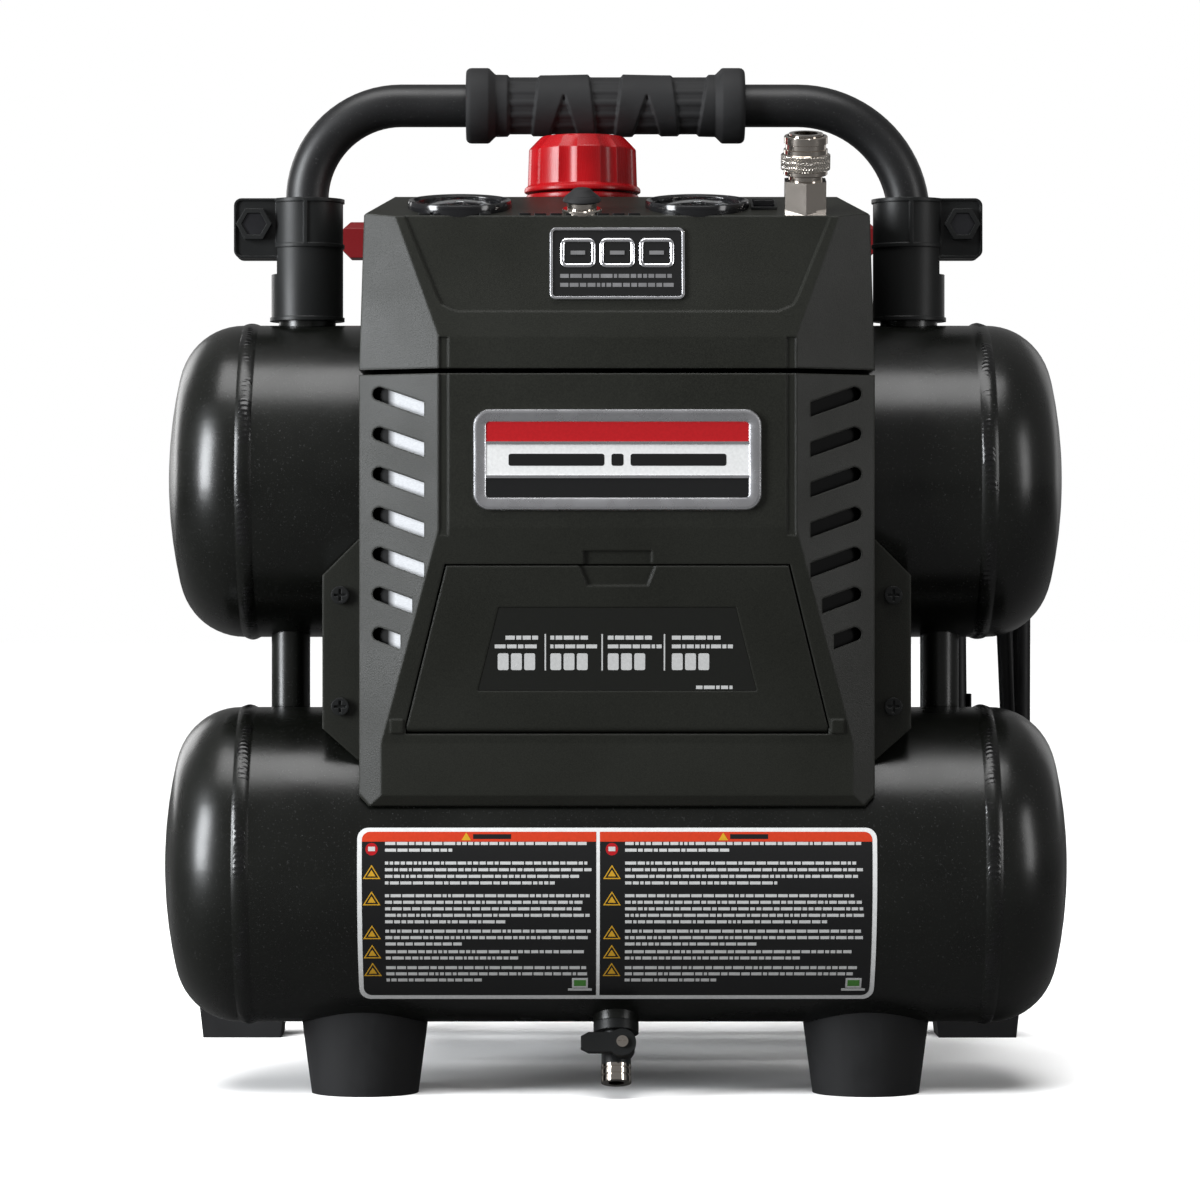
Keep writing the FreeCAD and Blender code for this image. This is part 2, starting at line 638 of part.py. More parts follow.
def rounded_plate(width, height, thickness, r):
    """An upright plate with round corners, its back on Y = 0 and its front at Y = -thickness."""
    plate = box(-width / 2, width / 2, -thickness, 0, -height / 2, height / 2)
    corners = [e for e in plate.Edges if abs(e.Vertexes[0].Y - e.Vertexes[1].Y) > thickness / 2]
    return plate.makeFillet(r, corners)


def framed_badge(width, height, thickness, rim):
    """A badge with a raised rim round a lower field."""
    field = rounded_plate(width - 2 * rim, height - 2 * rim, thickness, 3.0)
    return rounded_plate(width, height, thickness, 5.0).cut(moved(field, 0, -thickness / 2, 0))


# the sloping face has a shallow pocket that the badge is stuck into
BADGE_Z = 421.0
pocket = prism_y([(-108.5, 30), (-90, -16.3), (-87.5, -21), (-80, -24.4),
                  (80, -24.4), (87.5, -21), (90, -16.3), (108.5, 30)], -2, POCKET_DEEP)
console = console.cut(on_console_face(pocket, BADGE_Z))
console_badge = on_console_face(moved(framed_badge(67.0, 37.0, 1.6, 2.0), 0, POCKET_DEEP, 0), BADGE_Z)
cover_badge = moved(framed_badge(143.0, 50.0, 2.5, 3.5), 0, FIELD_Y, 323.0)

# gauges stand in round holes in the deck
gauge_case = fuse(ring(0, 0, 0, GAUGE_R, GAUGE_BODY_R - 1.5, GAUGE_PROUD),
                  ring(0, 0, -GAUGE_DEEP, GAUGE_BODY_R, GAUGE_BODY_R - 1.5, GAUGE_DEEP),
                  cyl(0, 0, -GAUGE_DEEP - 2, GAUGE_BODY_R, 2),
                  cyl(0, 0, -GAUGE_DEEP - 14, 5, 12))
gauge_dial = cyl(0, 0, -1.0, 21.9, 1.0).cut(cyl(0, 0, -1.0, NEEDLE_PIN_R, 1.0))
gauge_dial = moved(gauge_dial, 0, 0, -DIAL_DEEP)
lens_dome = Part.makeSphere(LENS_DOME_R, V(0, 0, GAUGE_PROUD + 1.0 - LENS_DOME_R))
lens_hollow = moved(lens_dome, 0, 0, -1.4).common(cyl(0, 0, -5, 20.5, 9))
gauge_lens = cyl(0, 0, -1.6, 21.9, 6).common(lens_dome).cut(lens_hollow)
needle_hub = cyl(0, 0, 0.3, 2.5, 1.6)
needle_stem = cyl(0, 0, -1.2, NEEDLE_PIN_R - FIT, 2.0)
needle_blade = prism_z([(-1.1, -5.5), (1.1, -5.5), (0.4, 17.0), (-0.4, 17.0)], 0.6, 1.2)
needle = turned(fuse(needle_hub, needle_stem, needle_blade), (0, 0, 0), (0, 0, 1), 135)
needle = moved(needle, 0, 0, -DIAL_DEEP)

gauge_cases = []
gauge_dials = []
gauge_lenses = []
needles = []
for x in GAUGE_X:
    gauge_cases.append(on_deck(gauge_case, x, GAUGE_BACK))
    gauge_dials.append(on_deck(gauge_dial, x, GAUGE_BACK))
    gauge_lenses.append(on_deck(gauge_lens, x, GAUGE_BACK))
    needles.append(on_deck(needle, x, GAUGE_BACK))
    console = console.cut(on_deck(cyl(0, 0, -10, GAUGE_BODY_R + 0.1, 20), x, GAUGE_BACK))

# thermal reset button in its plated collar
breaker_collar = fuse(hexagon(0, 0, 0, 17, 3.5), cyl(0, 0, 3.5, 6.8, 2.5), cyl(0, 0, -14, 6, 14))
breaker_collar = breaker_collar.cut(cyl(0, 0, -12, 4, 30))
reset_button = fuse(cyl(0, 0, -8, 4 - FIT, 17.5), cyl(0, 0, 9.5, 5.6, 1.0),
                    cone(0, 0, 10.5, 5.6, 4.4, 2.5))
breaker_collar = on_deck(breaker_collar, BUTTON_X, BUTTON_BACK)
reset_button = on_deck(reset_button, BUTTON_X, BUTTON_BACK)
console = console.cut(on_deck(cyl(0, 0, -10, 6.1, 20), BUTTON_X, BUTTON_BACK))

# on/off rocker: the housing stands in the deck and the rocker turns on two side pins
rocker_w = 5.0
rocker_l = 9.6
rocker_case = fuse(box(-6.5, 6.5, -12.5, 12.5, 0, 1.5), box(-6.2, 6.2, -11.5, 11.5, -16, 0))
rocker_case = rocker_case.cut(box(-rocker_w - 0.3, rocker_w + 0.3, -rocker_l - 1, rocker_l + 1, -13, 5))
rocker_case = rocker_case.cut(cyl(-6, 0, -1.5, 1.5, 12, (1, 0, 0)))
rocker_side = [(-8.8, -1.5), (0, -6.5), (8.8, -3.0), (9.0, 1.4), (0, 0.6), (-9.0, 4.4)]
rocker = fuse(prism_x(rocker_side, -rocker_w, rocker_w), cyl(-5.9, 0, -1.5, 1.5 - FIT, 11.8, (1, 0, 0)))
rocker_case = on_deck(rocker_case, ROCKER_X, ROCKER_BACK)
rocker = on_deck(rocker, ROCKER_X, ROCKER_BACK)
console = console.cut(on_deck(box(-6.3, 6.3, -11.6, 11.6, -10, 10), ROCKER_X, ROCKER_BACK))

# quick coupler: a hex body through the deck, one corner to the front, with a sliding knurled sleeve
coupler_hex = turned(hexagon(0, 0, 0, COUPLER_AF, 16), (0, 0, 0), (0, 0, 1), 30)
coupler_body = fuse(coupler_hex, cyl(0, 0, 16, COUPLER_NECK_R, COUPLER_TOP - 16), cyl(0, 0, -16, 7, 16))
coupler_body = coupler_body.cut(cyl(0, 0, COUPLER_TOP - SOCKET_DEEP, SOCKET_R, SOCKET_DEEP + 1))
coupler_body = coupler_body.cut(cyl(0, 0, -17, 3.5, 34))
sleeve_bore = COUPLER_NECK_R + FIT
coupler_sleeve = fuse(ring(0, 0, 18.6, 11.0, sleeve_bore, 20.0), ring(0, 0, 21.2, 12.0, sleeve_bore, 8.0))
for z in (30.5, 36.2):
    coupler_sleeve = coupler_sleeve.cut(ring(0, 0, z, 13, 10.4, 0.9))
coupler_body = on_deck(coupler_body, COUPLER_X, COUPLER_BACK)
coupler_sleeve = on_deck(coupler_sleeve, COUPLER_X, COUPLER_BACK)
console = console.cut(on_deck(cyl(0, 0, -10, 7.1, 20), COUPLER_X, COUPLER_BACK))

# lower cover
cover_front = [(-SIDE_X, COVER_Z0), (SIDE_X, COVER_Z0), (SIDE_X, COVER_Z1), (-SIDE_X, COVER_Z1)]
fold_y = FIELD_Y + FOLD_BACK
cover_side = [(FIELD_Y, COVER_Z1), (FIELD_Y, FOLD_HIGH_Z), (fold_y, FOLD_LOW_Z), (fold_y, COVER_Z0 + 9),
              (fold_y + 5, COVER_Z0), (100, COVER_Z0), (100, COVER_Z1)]
cover = housing_block(cover_side, cover_front, 0)
open_ends = [(-SIDE_X, 100), (SIDE_X, 100), (SIDE_X, 450), (-SIDE_X, 450)]
cover_hollow = housing_block(cover_side, open_ends, WALL)
cover = cover.cut(cover_hollow).common(box(-300, 300, -300, COVER_REAR_Y, 0, 600))
cover = cover.cut(upper_room).cut(lower_room)

# moulded tray behind the cover: it bridges the gap between the tanks and shows as wings at both sides
tray_outline = [(-148, 189), (-130, 173), (130, 173), (148, 189),
                (148, 266), (130, 284), (-130, 284), (-148, 266)]
TRAY_Y0 = -87.0
TRAY_Y1 = -42.0
tray_hollow = prism_y(inset(tray_outline, WALL), TRAY_Y0 + WALL, TRAY_Y1)
tray = prism_y(tray_outline, TRAY_Y0, TRAY_Y1).cut(tray_hollow).cut(upper_room).cut(lower_room)
cover = cover.cut(prism_y(inset(tray_outline, -0.5), TRAY_Y0 - 0.5, 0))
# cutting the tanks' room out can leave loose slivers, so only the largest solid is kept
cover = max(cover.Solids, key=lambda s: s.Volume)
tray = max(tray.Solids, key=lambda s: s.Volume)

for i in range(SLOT_COUNT):
    top_z = SLOT_TOP_Z - i * SLOT_PITCH
    mid_z = top_z - SLOT_H / 2
    in_x = SLOT_IN_X + max(0, i - SLOT_COUNT + 3) * 6.0
    drop = (SLOT_END_X - in_x) * math.tan(SLOT_ANGLE)
    slot = [(SLOT_END_X, top_z), (in_x, top_z - drop),
            (in_x, top_z - drop - SLOT_H), (SLOT_END_X, top_z - SLOT_H)]
    slot_cut = prism_y(slot, -130, -90).fuse(cyl(SLOT_END_X, -130, mid_z, SLOT_END_R, 40, (0, 1, 0)))
    cover = cover.cut(slot_cut).cut(mirror_x(slot_cut))
INSERT_X0 = 93.0
INSERT_X1 = 124.0
facet_in_y = FIELD_Y + FACET_SLOPE * (INSERT_X0 - FIELD_HALF) + INSERT_BACK
facet_out_y = FIELD_Y + FACET_SLOPE * (INSERT_X1 - FIELD_HALF) + INSERT_BACK
insert_plan = [(INSERT_X0, facet_in_y), (INSERT_X1, facet_out_y),
               (INSERT_X1, facet_out_y + 1.5), (INSERT_X0, facet_in_y + 1.5)]
insert_outline = [(INSERT_X0, 362.5), (INSERT_X1, 362.5), (INSERT_X1, 224), (104, 224), (INSERT_X0, 268)]
vent_insert = prism_z(insert_plan, 200, 400).common(prism_y(insert_outline, -200, 0)).cut(upper_room)
vent_inserts = [vent_insert, mirror_x(vent_insert)]

# door: its lower edge is a round barrel on the hinge axis
door_plane = FOLD_BACK / (FOLD_HIGH_Z - FOLD_LOW_Z)
tilt_angle = math.atan(door_plane)
hinge_y = FIELD_Y + (FOLD_HIGH_Z - HINGE_Z) * door_plane + HINGE_R / math.cos(tilt_angle)
door_slope = (DOOR_BOTTOM_HALF - DOOR_TOP_HALF) / (DOOR_TOP_Z - HINGE_Z)
door_outline = [(-DOOR_BOTTOM_HALF, HINGE_Z), (DOOR_BOTTOM_HALF, HINGE_Z),
                (DOOR_TOP_HALF, DOOR_TOP_Z), (-DOOR_TOP_HALF, DOOR_TOP_Z)]
low_half = DOOR_BOTTOM_HALF + door_slope * 4.0
low_edge = HINGE_Z - HINGE_R - DOOR_GAP
top_edge = DOOR_TOP_Z + DOOR_GAP
opening_outline = [(-low_half - DOOR_GAP, low_edge), (low_half + DOOR_GAP, low_edge),
                   (DOOR_TOP_HALF + DOOR_GAP, top_edge), (-DOOR_TOP_HALF - DOOR_GAP, top_edge)]
door_side = [(FIELD_Y, FOLD_HIGH_Z), (fold_y, FOLD_LOW_Z),
             (fold_y + 40, FOLD_LOW_Z), (fold_y + 40, FOLD_HIGH_Z)]
door_front = prism_x(door_side, -200, 200)
door_back = moved(door_front, 0, WALL / math.cos(tilt_angle), 0)
door = door_front.cut(door_back).common(prism_y(door_outline, -300, 0))
door_rear_cut = box(-200, 200, -200, 0, 0, HINGE_Z)
barrel = cyl(-DOOR_BOTTOM_HALF, hinge_y, HINGE_Z, HINGE_R, 2 * DOOR_BOTTOM_HALF, (1, 0, 0))
door = door.cut(door_rear_cut).fuse(barrel).removeSplitter()


def on_door(shape, z):
    y = FIELD_Y + (FOLD_HIGH_Z - z) * door_plane
    return moved(turned(shape, (0, 0, 0), (1, 0, 0), math.degrees(tilt_angle)), 0, y, z)


scoop = prism_y([(-19.5, 1), (-15, -10), (15, -10), (19.5, 1)], -1, 1.5)
door = door.cut(on_door(scoop, DOOR_TOP_Z))
PANEL_Z = 229.0
PANEL_DEEP = 0.8
PANEL_HALF_H = 21.0
panel_low = 69.5
panel_high = 59.0
panel_outline = [(-panel_low, -PANEL_HALF_H), (panel_low, -PANEL_HALF_H),
                 (panel_high, PANEL_HALF_H), (-panel_high, PANEL_HALF_H)]
door = door.cut(on_door(prism_y(panel_outline, -0.1, PANEL_DEEP), PANEL_Z))
rating_plate = on_door(prism_y(inset(panel_outline, 0.2), 0.1, PANEL_DEEP), PANEL_Z)
pin_l = 10.0
hinge_pins = []
for side in (-1, 1):
    x = side * (DOOR_BOTTOM_HALF + 2) - pin_l / 2
    hinge_pins.append(cyl(x, hinge_y, HINGE_Z, HINGE_PIN_R, pin_l, (1, 0, 0)))
    door = door.cut(cyl(x, hinge_y, HINGE_Z, HINGE_PIN_R, pin_l, (1, 0, 0)))

cover = cover.cut(prism_y(opening_outline, -300, fold_y + 6))
lug_x0 = DOOR_BOTTOM_HALF + 0.5
for side in (-1, 1):
    x0 = min(side * lug_x0, side * (lug_x0 + 7.5))
    lug = box(x0, x0 + 7.5, hinge_y - HINGE_R + 0.6, hinge_y + 3.5, HINGE_Z - 6, HINGE_Z + 3)
    lug = lug.common(housing_block(cover_side, cover_front, 0)).cut(lower_room)
    cover = cover.fuse(lug)
cover = cover.cut(cyl(-DOOR_BOTTOM_HALF - 8, hinge_y, HINGE_Z, HINGE_PIN_R + FIT, 16, (1, 0, 0)))
cover = cover.cut(cyl(DOOR_BOTTOM_HALF - 8, hinge_y, HINGE_Z, HINGE_PIN_R + FIT, 16, (1, 0, 0)))
cover = cover.cut(box(-17, 17, FIELD_Y - 1, FIELD_Y + 4.6, DOOR_TOP_Z, DOOR_TOP_Z + 7.5)
                  .cut(moved(door_front, 0, 1.6, 0)))
for side in (border(FOLD_HIGH_Z - 4, COVER_Z1 + 1), mirror_x(border(FOLD_HIGH_Z - 4, COVER_Z1 + 1))):
    cover = cover.cut(side)
# a small raised cap covers each end of the hinge
cap = on_door(box(DOOR_BOTTOM_HALF + 1.8, DOOR_BOTTOM_HALF + 8.2, -0.9, 1.0, -3.5, 3.5), HINGE_Z)
cover = cover.fuse(cap).fuse(mirror_x(cap))
cover = cover.removeSplitter()
cover = max(cover.Solids, key=lambda s: s.Volume)

# storage bin: an open tray behind the door
bin_half = 84.0
bin_front = hinge_y + HINGE_R + 1.5
bin_rear = -72.5
bin_outer = box(-bin_half, bin_half, bin_front - 6, bin_rear, 194, 268)
bin_inner = box(-bin_half + 2, bin_half - 2, bin_front - 30, bin_rear - 2, 196, 266)
tray = tray.cut(box(-bin_half - 0.5, bin_half + 0.5, TRAY_Y0 - 1, TRAY_Y0 + WALL + 1, 193.5, 268.5))
storage_bin = bin_outer.cut(bin_inner).cut(upper_room).cut(lower_room)
storage_bin = storage_bin.common(moved(door_front, 0, WALL / math.cos(tilt_angle) + 0.6, 0))
storage_bin = max(storage_bin.Solids, key=lambda s: s.Volume)

# cover screws: four into the tray through the cover's side flanges
cover_screws = []
for side in (-1, 1):
    for z in (200.0, 256.0):
        centre_x = side * 139.0
        screw = fuse(cyl(centre_x, TRAY_Y0 - 3, z, 4.5, 3, (0, 1, 0)),
                     cyl(centre_x, TRAY_Y0, z, 2, 12, (0, 1, 0)))
        for half_x, half_z in ((3, 0.6), (0.6, 3)):
            screw = screw.cut(box(centre_x - half_x, centre_x + half_x, TRAY_Y0 - 3, TRAY_Y0 - 2,
                                  z - half_z, z + half_z))
        cover_screws.append(screw)
        tray = tray.cut(cyl(centre_x, TRAY_Y0 - 1, z, 2, 20, (0, 1, 0)))

# safety label: a thin curved sheet on the front of the lower tank
label = ring(-LABEL_HALF, LOWER_Y, LOWER_Z, TANK_R + LABEL_T, TANK_R + 0.02, 2 * LABEL_HALF, (1, 0, 0))
LABEL_LOW = -54.0
LABEL_HIGH = 16.0
LABEL_STEPS = 5
wedge = [(LOWER_Y, LOWER_Z)]
for i in range(LABEL_STEPS + 1):
    a = math.radians(LABEL_LOW + (LABEL_HIGH - LABEL_LOW) * i / LABEL_STEPS)
    wedge.append((LOWER_Y - 120 * math.cos(a), LOWER_Z + 120 * math.sin(a)))
tank_label = label.common(prism_x(wedge, -LABEL_HALF, LABEL_HALF))

# ---------------------------------------------------------------- regulator, manifold and valves

manifold = box(-60, 60, -14, 26, MANIFOLD_Z0, MANIFOLD_Z1)
manifold = manifold.cut(cyl(0, 0, MANIFOLD_Z0 - 1, PORT_R, 12))
manifold = manifold.cut(cyl(-55, 6, MANIFOLD_Z0 + 10, 4, 110, (1, 0, 0)))
shelf_under = DECK_Z - WALL
BONNET_Z0 = MANIFOLD_Z1 + 20


def knob_cyl(z, r, h):
    return cyl(KNOB_X, KNOB_Y, z, r, h)


regulator_body = fuse(knob_cyl(MANIFOLD_Z0 + 4, REGULATOR_R, 44),
                      knob_cyl(BONNET_Z0, 14.5, shelf_under - BONNET_Z0),
                      knob_cyl(shelf_under - 2, BONNET_NECK_R, 6),
                      knob_cyl(DECK_Z, KNOB_SPINDLE_R, 18))
manifold = manifold.cut(knob_cyl(MANIFOLD_Z0 - 1, REGULATOR_R, 60))
console = console.cut(knob_cyl(shelf_under - 5, BONNET_NECK_R + 0.1, 20))
panel_nut = ring(KNOB_X, KNOB_Y, DECK_Z, 29.0, BONNET_NECK_R, 3.2)

knob_body = knob_cyl(KNOB_Z0, KNOB_R, KNOB_SHOULDER_Z - KNOB_Z0)
crown = cone(KNOB_X, KNOB_Y, KNOB_SHOULDER_Z, KNOB_R, KNOB_CROWN_R, KNOB_TOP_Z - KNOB_SHOULDER_Z)
knob_body = knob_body.fuse(crown)
flute_r = 6.5
for i in range(KNOB_FLUTES):
    a = 2 * math.pi * (i + 0.5) / KNOB_FLUTES
    reach = KNOB_R + flute_r - 1.8
    flute = cyl(KNOB_X + reach * math.cos(a), KNOB_Y + reach * math.sin(a), KNOB_Z0 + 2.9, flute_r, 40)
    knob_body = knob_body.cut(flute)
knob = fuse(knob_body, knob_cyl(KNOB_Z0, KNOB_FLANGE_R, 2.9))
knob = knob.cut(knob_cyl(KNOB_Z0, 14, 3)).cut(knob_cyl(KNOB_Z0, KNOB_SPINDLE_R + FIT, 15))

valve_x = 38.0
valve_y = 6.0
safety_valve = fuse(cyl(valve_x, valve_y, MANIFOLD_Z1, 6, 4),
                    hexagon(valve_x, valve_y, MANIFOLD_Z1 + 4, 14, 6),
                    cyl(valve_x, valve_y, MANIFOLD_Z1 + 10, 6, 3))
safety_valve = safety_valve.cut(cyl(valve_x, valve_y, MANIFOLD_Z1 + 8, 2, 20))
pull_ring = fuse(cyl(valve_x, valve_y, MANIFOLD_Z1 + 9, 2 - FIT, 7.5),
                 Part.makeTorus(5.0, 1.0, V(valve_x, valve_y, MANIFOLD_Z1 + 21.3), V(0, 1, 0)))

pressure_switch = fuse(box(62, 112, -20, 32, 404, 446), cyl(60, 6, MANIFOLD_Z0 + 10, 6, 4, (1, 0, 0)))
pressure_switch = pressure_switch.cut(upper_room)

# ---------------------------------------------------------------- drain valve

# the lever turns on a screw whose axis runs front to back, LEVER_X beside the valve's own axis
drain_z = DRAIN_TOP - 4
outlet_top = drain_z - DRAIN_BODY_L
valve_mid = drain_z - 13.5
lever_back = LOWER_Y - 11.2
lever_front = lever_back - LEVER_T


def lever_cyl(r, front, length):
    return cyl(LEVER_X, front, valve_mid, r, length, (0, 1, 0))


drain_body = fuse(cyl(0, LOWER_Y, drain_z - 5, DRAIN_COLLAR_R, 5),
                  cyl(0, LOWER_Y, outlet_top, DRAIN_BODY_R, DRAIN_BODY_L - 5),
                  lever_cyl(6.5, LOWER_Y - 11, 11))
drain_body = drain_body.cut(cyl(0, LOWER_Y, outlet_top - 8, 3, 40))
drain_body = drain_body.cut(lever_cyl(LEVER_SCREW_R, LOWER_Y - 12, 10))
lever_plan = [(LEVER_X, valve_mid - 5), (-14, valve_mid - 5.2), (-18, valve_mid - 3),
              (-18, valve_mid + 3), (-14, valve_mid + 5.2), (LEVER_X, valve_mid + 5)]
drain_lever = fuse(prism_y(lever_plan, lever_front, lever_back), lever_cyl(7, lever_front, LEVER_T))
drain_lever = drain_lever.cut(lever_cyl(LEVER_SCREW_R + FIT, lever_front - 1, LEVER_T + 2))
screw_head = lever_front - 0.1
drain_screw = fuse(lever_cyl(LEVER_SCREW_R, screw_head, 12), lever_cyl(3, screw_head - 1.6, 1.6))
for half_x, half_z in ((2.2, 0.4), (0.4, 2.2)):
    cross = box(LEVER_X - half_x, LEVER_X + half_x, screw_head - 2.2, screw_head - 1.0,
                valve_mid - half_z, valve_mid + half_z)
    drain_screw = drain_screw.cut(cross)
drain_outlet = ring(0, LOWER_Y, outlet_top - 9, 7.65, 4, 9)
for z in (outlet_top - 2.5, outlet_top - 6):
    drain_outlet = drain_outlet.cut(ring(0, LOWER_Y, z, 9, 7.0, 1.0))

# ---------------------------------------------------------------- pump unit


def pump_cyl(x, r, length):
    return cyl(x, PUMP_Y, PUMP_Z, r, length, (1, 0, 0))


motor = pump_cyl(-MOTOR_HALF, MOTOR_R, 2 * MOTOR_HALF)
motor = motor.fuse(box(-45, 45, PUMP_Y - 40, PUMP_Y + 40, PLATE_Z0 + PLATE_T, PUMP_Z))
motor = motor.cut(pump_cyl(-MOTOR_HALF + END_WALL, MOTOR_R - MOTOR_WALL, 2 * (MOTOR_HALF - END_WALL)))
motor = motor.cut(pump_cyl(-MOTOR_HALF, BEARING_R, 2 * MOTOR_HALF))
for i in range(10):
    a = 36.0 * i
    window = box(-4.5, 4.5, -4, 4, MOTOR_R - 14, MOTOR_R + 4)
    for x in (-37.0, 37.0):
        motor = motor.cut(turned(moved(window, x, PUMP_Y, PUMP_Z), (0, PUMP_Y, PUMP_Z), (1, 0, 0), a))
stator = pump_cyl(-28, MOTOR_R - MOTOR_WALL, 56).cut(pump_cyl(-28, 34, 56))
for i in range(12):
    slot = cyl(-28, 0, 38.5, 5.5, 56, (1, 0, 0))
    stator = stator.cut(turned(moved(slot, 0, PUMP_Y, PUMP_Z), (0, PUMP_Y, PUMP_Z), (1, 0, 0), 30.0 * i))
lead_y = CORD_Y0 + CORD_PITCH * (CORD_TURNS - 0.5)
terminal_box = box(-24, 24, lead_y - 14, PUMP_Y + 8, PUMP_Z + 40, TERMINAL_Z)
motor = motor.fuse(terminal_box.cut(pump_cyl(-MOTOR_HALF, MOTOR_R - 1, 2 * MOTOR_HALF)))
motor = motor.cut(cyl(0, lead_y, TERMINAL_Z - 12, CORD_R + 0.6, 20))
bearing = pump_cyl(MOTOR_HALF - END_WALL, BEARING_R, END_WALL).cut(pump_cyl(0, SHAFT_R + FIT, 100))
shaft = fuse(pump_cyl(-74, SHAFT_R, 148), pump_cyl(-28, 33.2, 56))
fan = pump_cyl(30, 12, 10)
for i in range(9):
    blade = box(32, 40, -1, 1, 8, 46)
    fan = fan.fuse(turned(moved(blade, 0, PUMP_Y, PUMP_Z), (0, PUMP_Y, PUMP_Z), (1, 0, 0), 40.0 * i))
fan = fan.cut(pump_cyl(0, SHAFT_R, 60))


def crank_disc(pin_z):
    """Right-hand crank disc with a counterweight and a stub of the crank pin."""
    disc = fuse(pump_cyl(64, 20, 10), cyl(74, PUMP_Y, PUMP_Z + pin_z, 5, 1.5, (1, 0, 0)))
    weight = pump_cyl(64, 34, 8).common(box(60, 80, PUMP_Y - 40, PUMP_Y + 40, PUMP_Z - 40, PUMP_Z - 8))
    if pin_z < 0:
        weight = turned(weight, (0, PUMP_Y, PUMP_Z), (1, 0, 0), 180)
    return fuse(disc, weight).cut(pump_cyl(60, SHAFT_R, 14))


def crankcase():
    """Right-hand crankcase with the seat for the cylinder on top and a closed outer end."""
    body = fuse(pump_cyl(CASE_X0, CASE_R, CASE_X1 - CASE_X0), cyl(CRANK_X, PUMP_Y, PUMP_Z, 31, BARREL_Z0))
    body = body.fuse(box(CASE_X0, CASE_X1, PUMP_Y - 30, PUMP_Y + 30, PLATE_Z0 + PLATE_T, PUMP_Z - 30))
    body = body.cut(pump_cyl(CASE_X0 + 4, CASE_R - 5, CASE_X1 - CASE_X0 - 8))
    body = body.cut(cyl(CRANK_X, PUMP_Y, PUMP_Z, BARREL_R - 0.1, 60))
    body = body.common(box(CASE_X0, 200, 0, 400, 0, 400))
    return body.cut(pump_cyl(CASE_X0 - 2, 12, 12))


def cylinder_barrel():
    barrel = cyl(CRANK_X, PUMP_Y, PUMP_Z + BARREL_Z0, BARREL_R, BARREL_H)
    for i in range(4):
        barrel = barrel.fuse(cyl(CRANK_X, PUMP_Y, PUMP_Z + BARREL_Z0 + 2 + 6 * i, 33, 2.2))
    barrel = barrel.common(box(CASE_X0, 200, 0, 400, 0, 400))
    return barrel.cut(cyl(CRANK_X, PUMP_Y, PUMP_Z, BORE_R, 100))


def cylinder_head():
    z = PUMP_Z + BARREL_Z0 + BARREL_H
    head = box(CRANK_X - 24, CRANK_X + 30, PUMP_Y - 31, PUMP_Y + 31, z, z + 16)
    for i in range(7):
        y = PUMP_Y - 29 + i * 9.0
        head = head.fuse(box(CRANK_X - 22, CRANK_X + 28, y, y + 3, z + 16, z + 28))
    head = head.cut(cyl(CRANK_X, PUMP_Y, z, 20, 8))
    return head.cut(cyl(CRANK_X - 10, PUMP_Y + 21, z + 8, 4, 12, (0, 1, 0)))


def piston(pin_z):
    """Right-hand piston: a disc on a rigid rod whose big end carries a needle bearing."""
    z = PUMP_Z + pin_z
    rod = fuse(cyl(76, PUMP_Y, z, 15, 12, (1, 0, 0)), box(77, 87, PUMP_Y - 6, PUMP_Y + 6, z, z + ROD_L - 5),
               cyl(CRANK_X, PUMP_Y, z + ROD_L - 6, BORE_R - FIT, 6))
    return rod.cut(cyl(76, PUMP_Y, z, 6, 12, (1, 0, 0)))


left_disc = mirror_x(crank_disc(ECCENTRIC))
right_disc = crank_disc(-ECCENTRIC)
right_piston = piston(-ECCENTRIC)
left_piston = mirror_x(piston(ECCENTRIC))

# pump plate on four rubber mounts above the frame's rails
pump_plate = box(-135, 135, PUMP_Y - 62, PUMP_Y + 62, PLATE_Z0, PLATE_Z0 + PLATE_T)
mounts = []
for x in (-RAIL_X, RAIL_X):
    for y in (PUMP_Y - 48, PUMP_Y + 48):
        mounts.append(fuse(cyl(x, y, 82, 10, 18), cyl(x, y, PLATE_Z0, 4, 10)))
        pump_plate = pump_plate.cut(cyl(x, y, PLATE_Z0 - 1, 4, 10))

# discharge line: both heads feed one finned tube to the check valve on the upper tank
check_valve = fuse(cyl(CHECK_VALVE_X, TANK_R + 6, UPPER_Z, 9, 14, (0, 1, 0)),
                   hexagon(CHECK_VALVE_X, TANK_R + 20, UPPER_Z, 19, 10, (0, 1, 0)))
check_valve = check_valve.cut(cyl(CHECK_VALVE_X, TANK_R + 7, UPPER_Z, 4.2, 30, (0, 1, 0)))
tee_y = PUMP_Y + 60
head_port_z = PUMP_Z + 81
line_r = 3.5
tee_x = CHECK_VALVE_X
right_line = pipe([(72, PUMP_Y + 31, head_port_z), (72, PUMP_Y + 46, head_port_z), (60, tee_y, head_port_z),
                   (20, tee_y, head_port_z), (tee_x + 10, tee_y, head_port_z)], line_r)
left_line = pipe([(-72, PUMP_Y + 31, head_port_z), (-72, PUMP_Y + 46, head_port_z), (-60, tee_y, head_port_z),
                  (tee_x - 10, tee_y, head_port_z), (tee_x, tee_y, head_port_z)], line_r)
up_line = pipe([(tee_x, tee_y, head_port_z), (tee_x, tee_y, head_port_z + 30),
                (tee_x, tee_y - 14, UPPER_Z - 6), (tee_x, tee_y - 40, UPPER_Z),
                (tee_x, TANK_R + 60, UPPER_Z), (tee_x, TANK_R + 26, UPPER_Z)], line_r)
tee_block = box(tee_x - 8, tee_x + 12, tee_y - 7, tee_y + 7, head_port_z - 7, head_port_z + 7)
discharge_tube = fuse(right_line, left_line, up_line, tee_block)

# ---------------------------------------------------------------- power cord

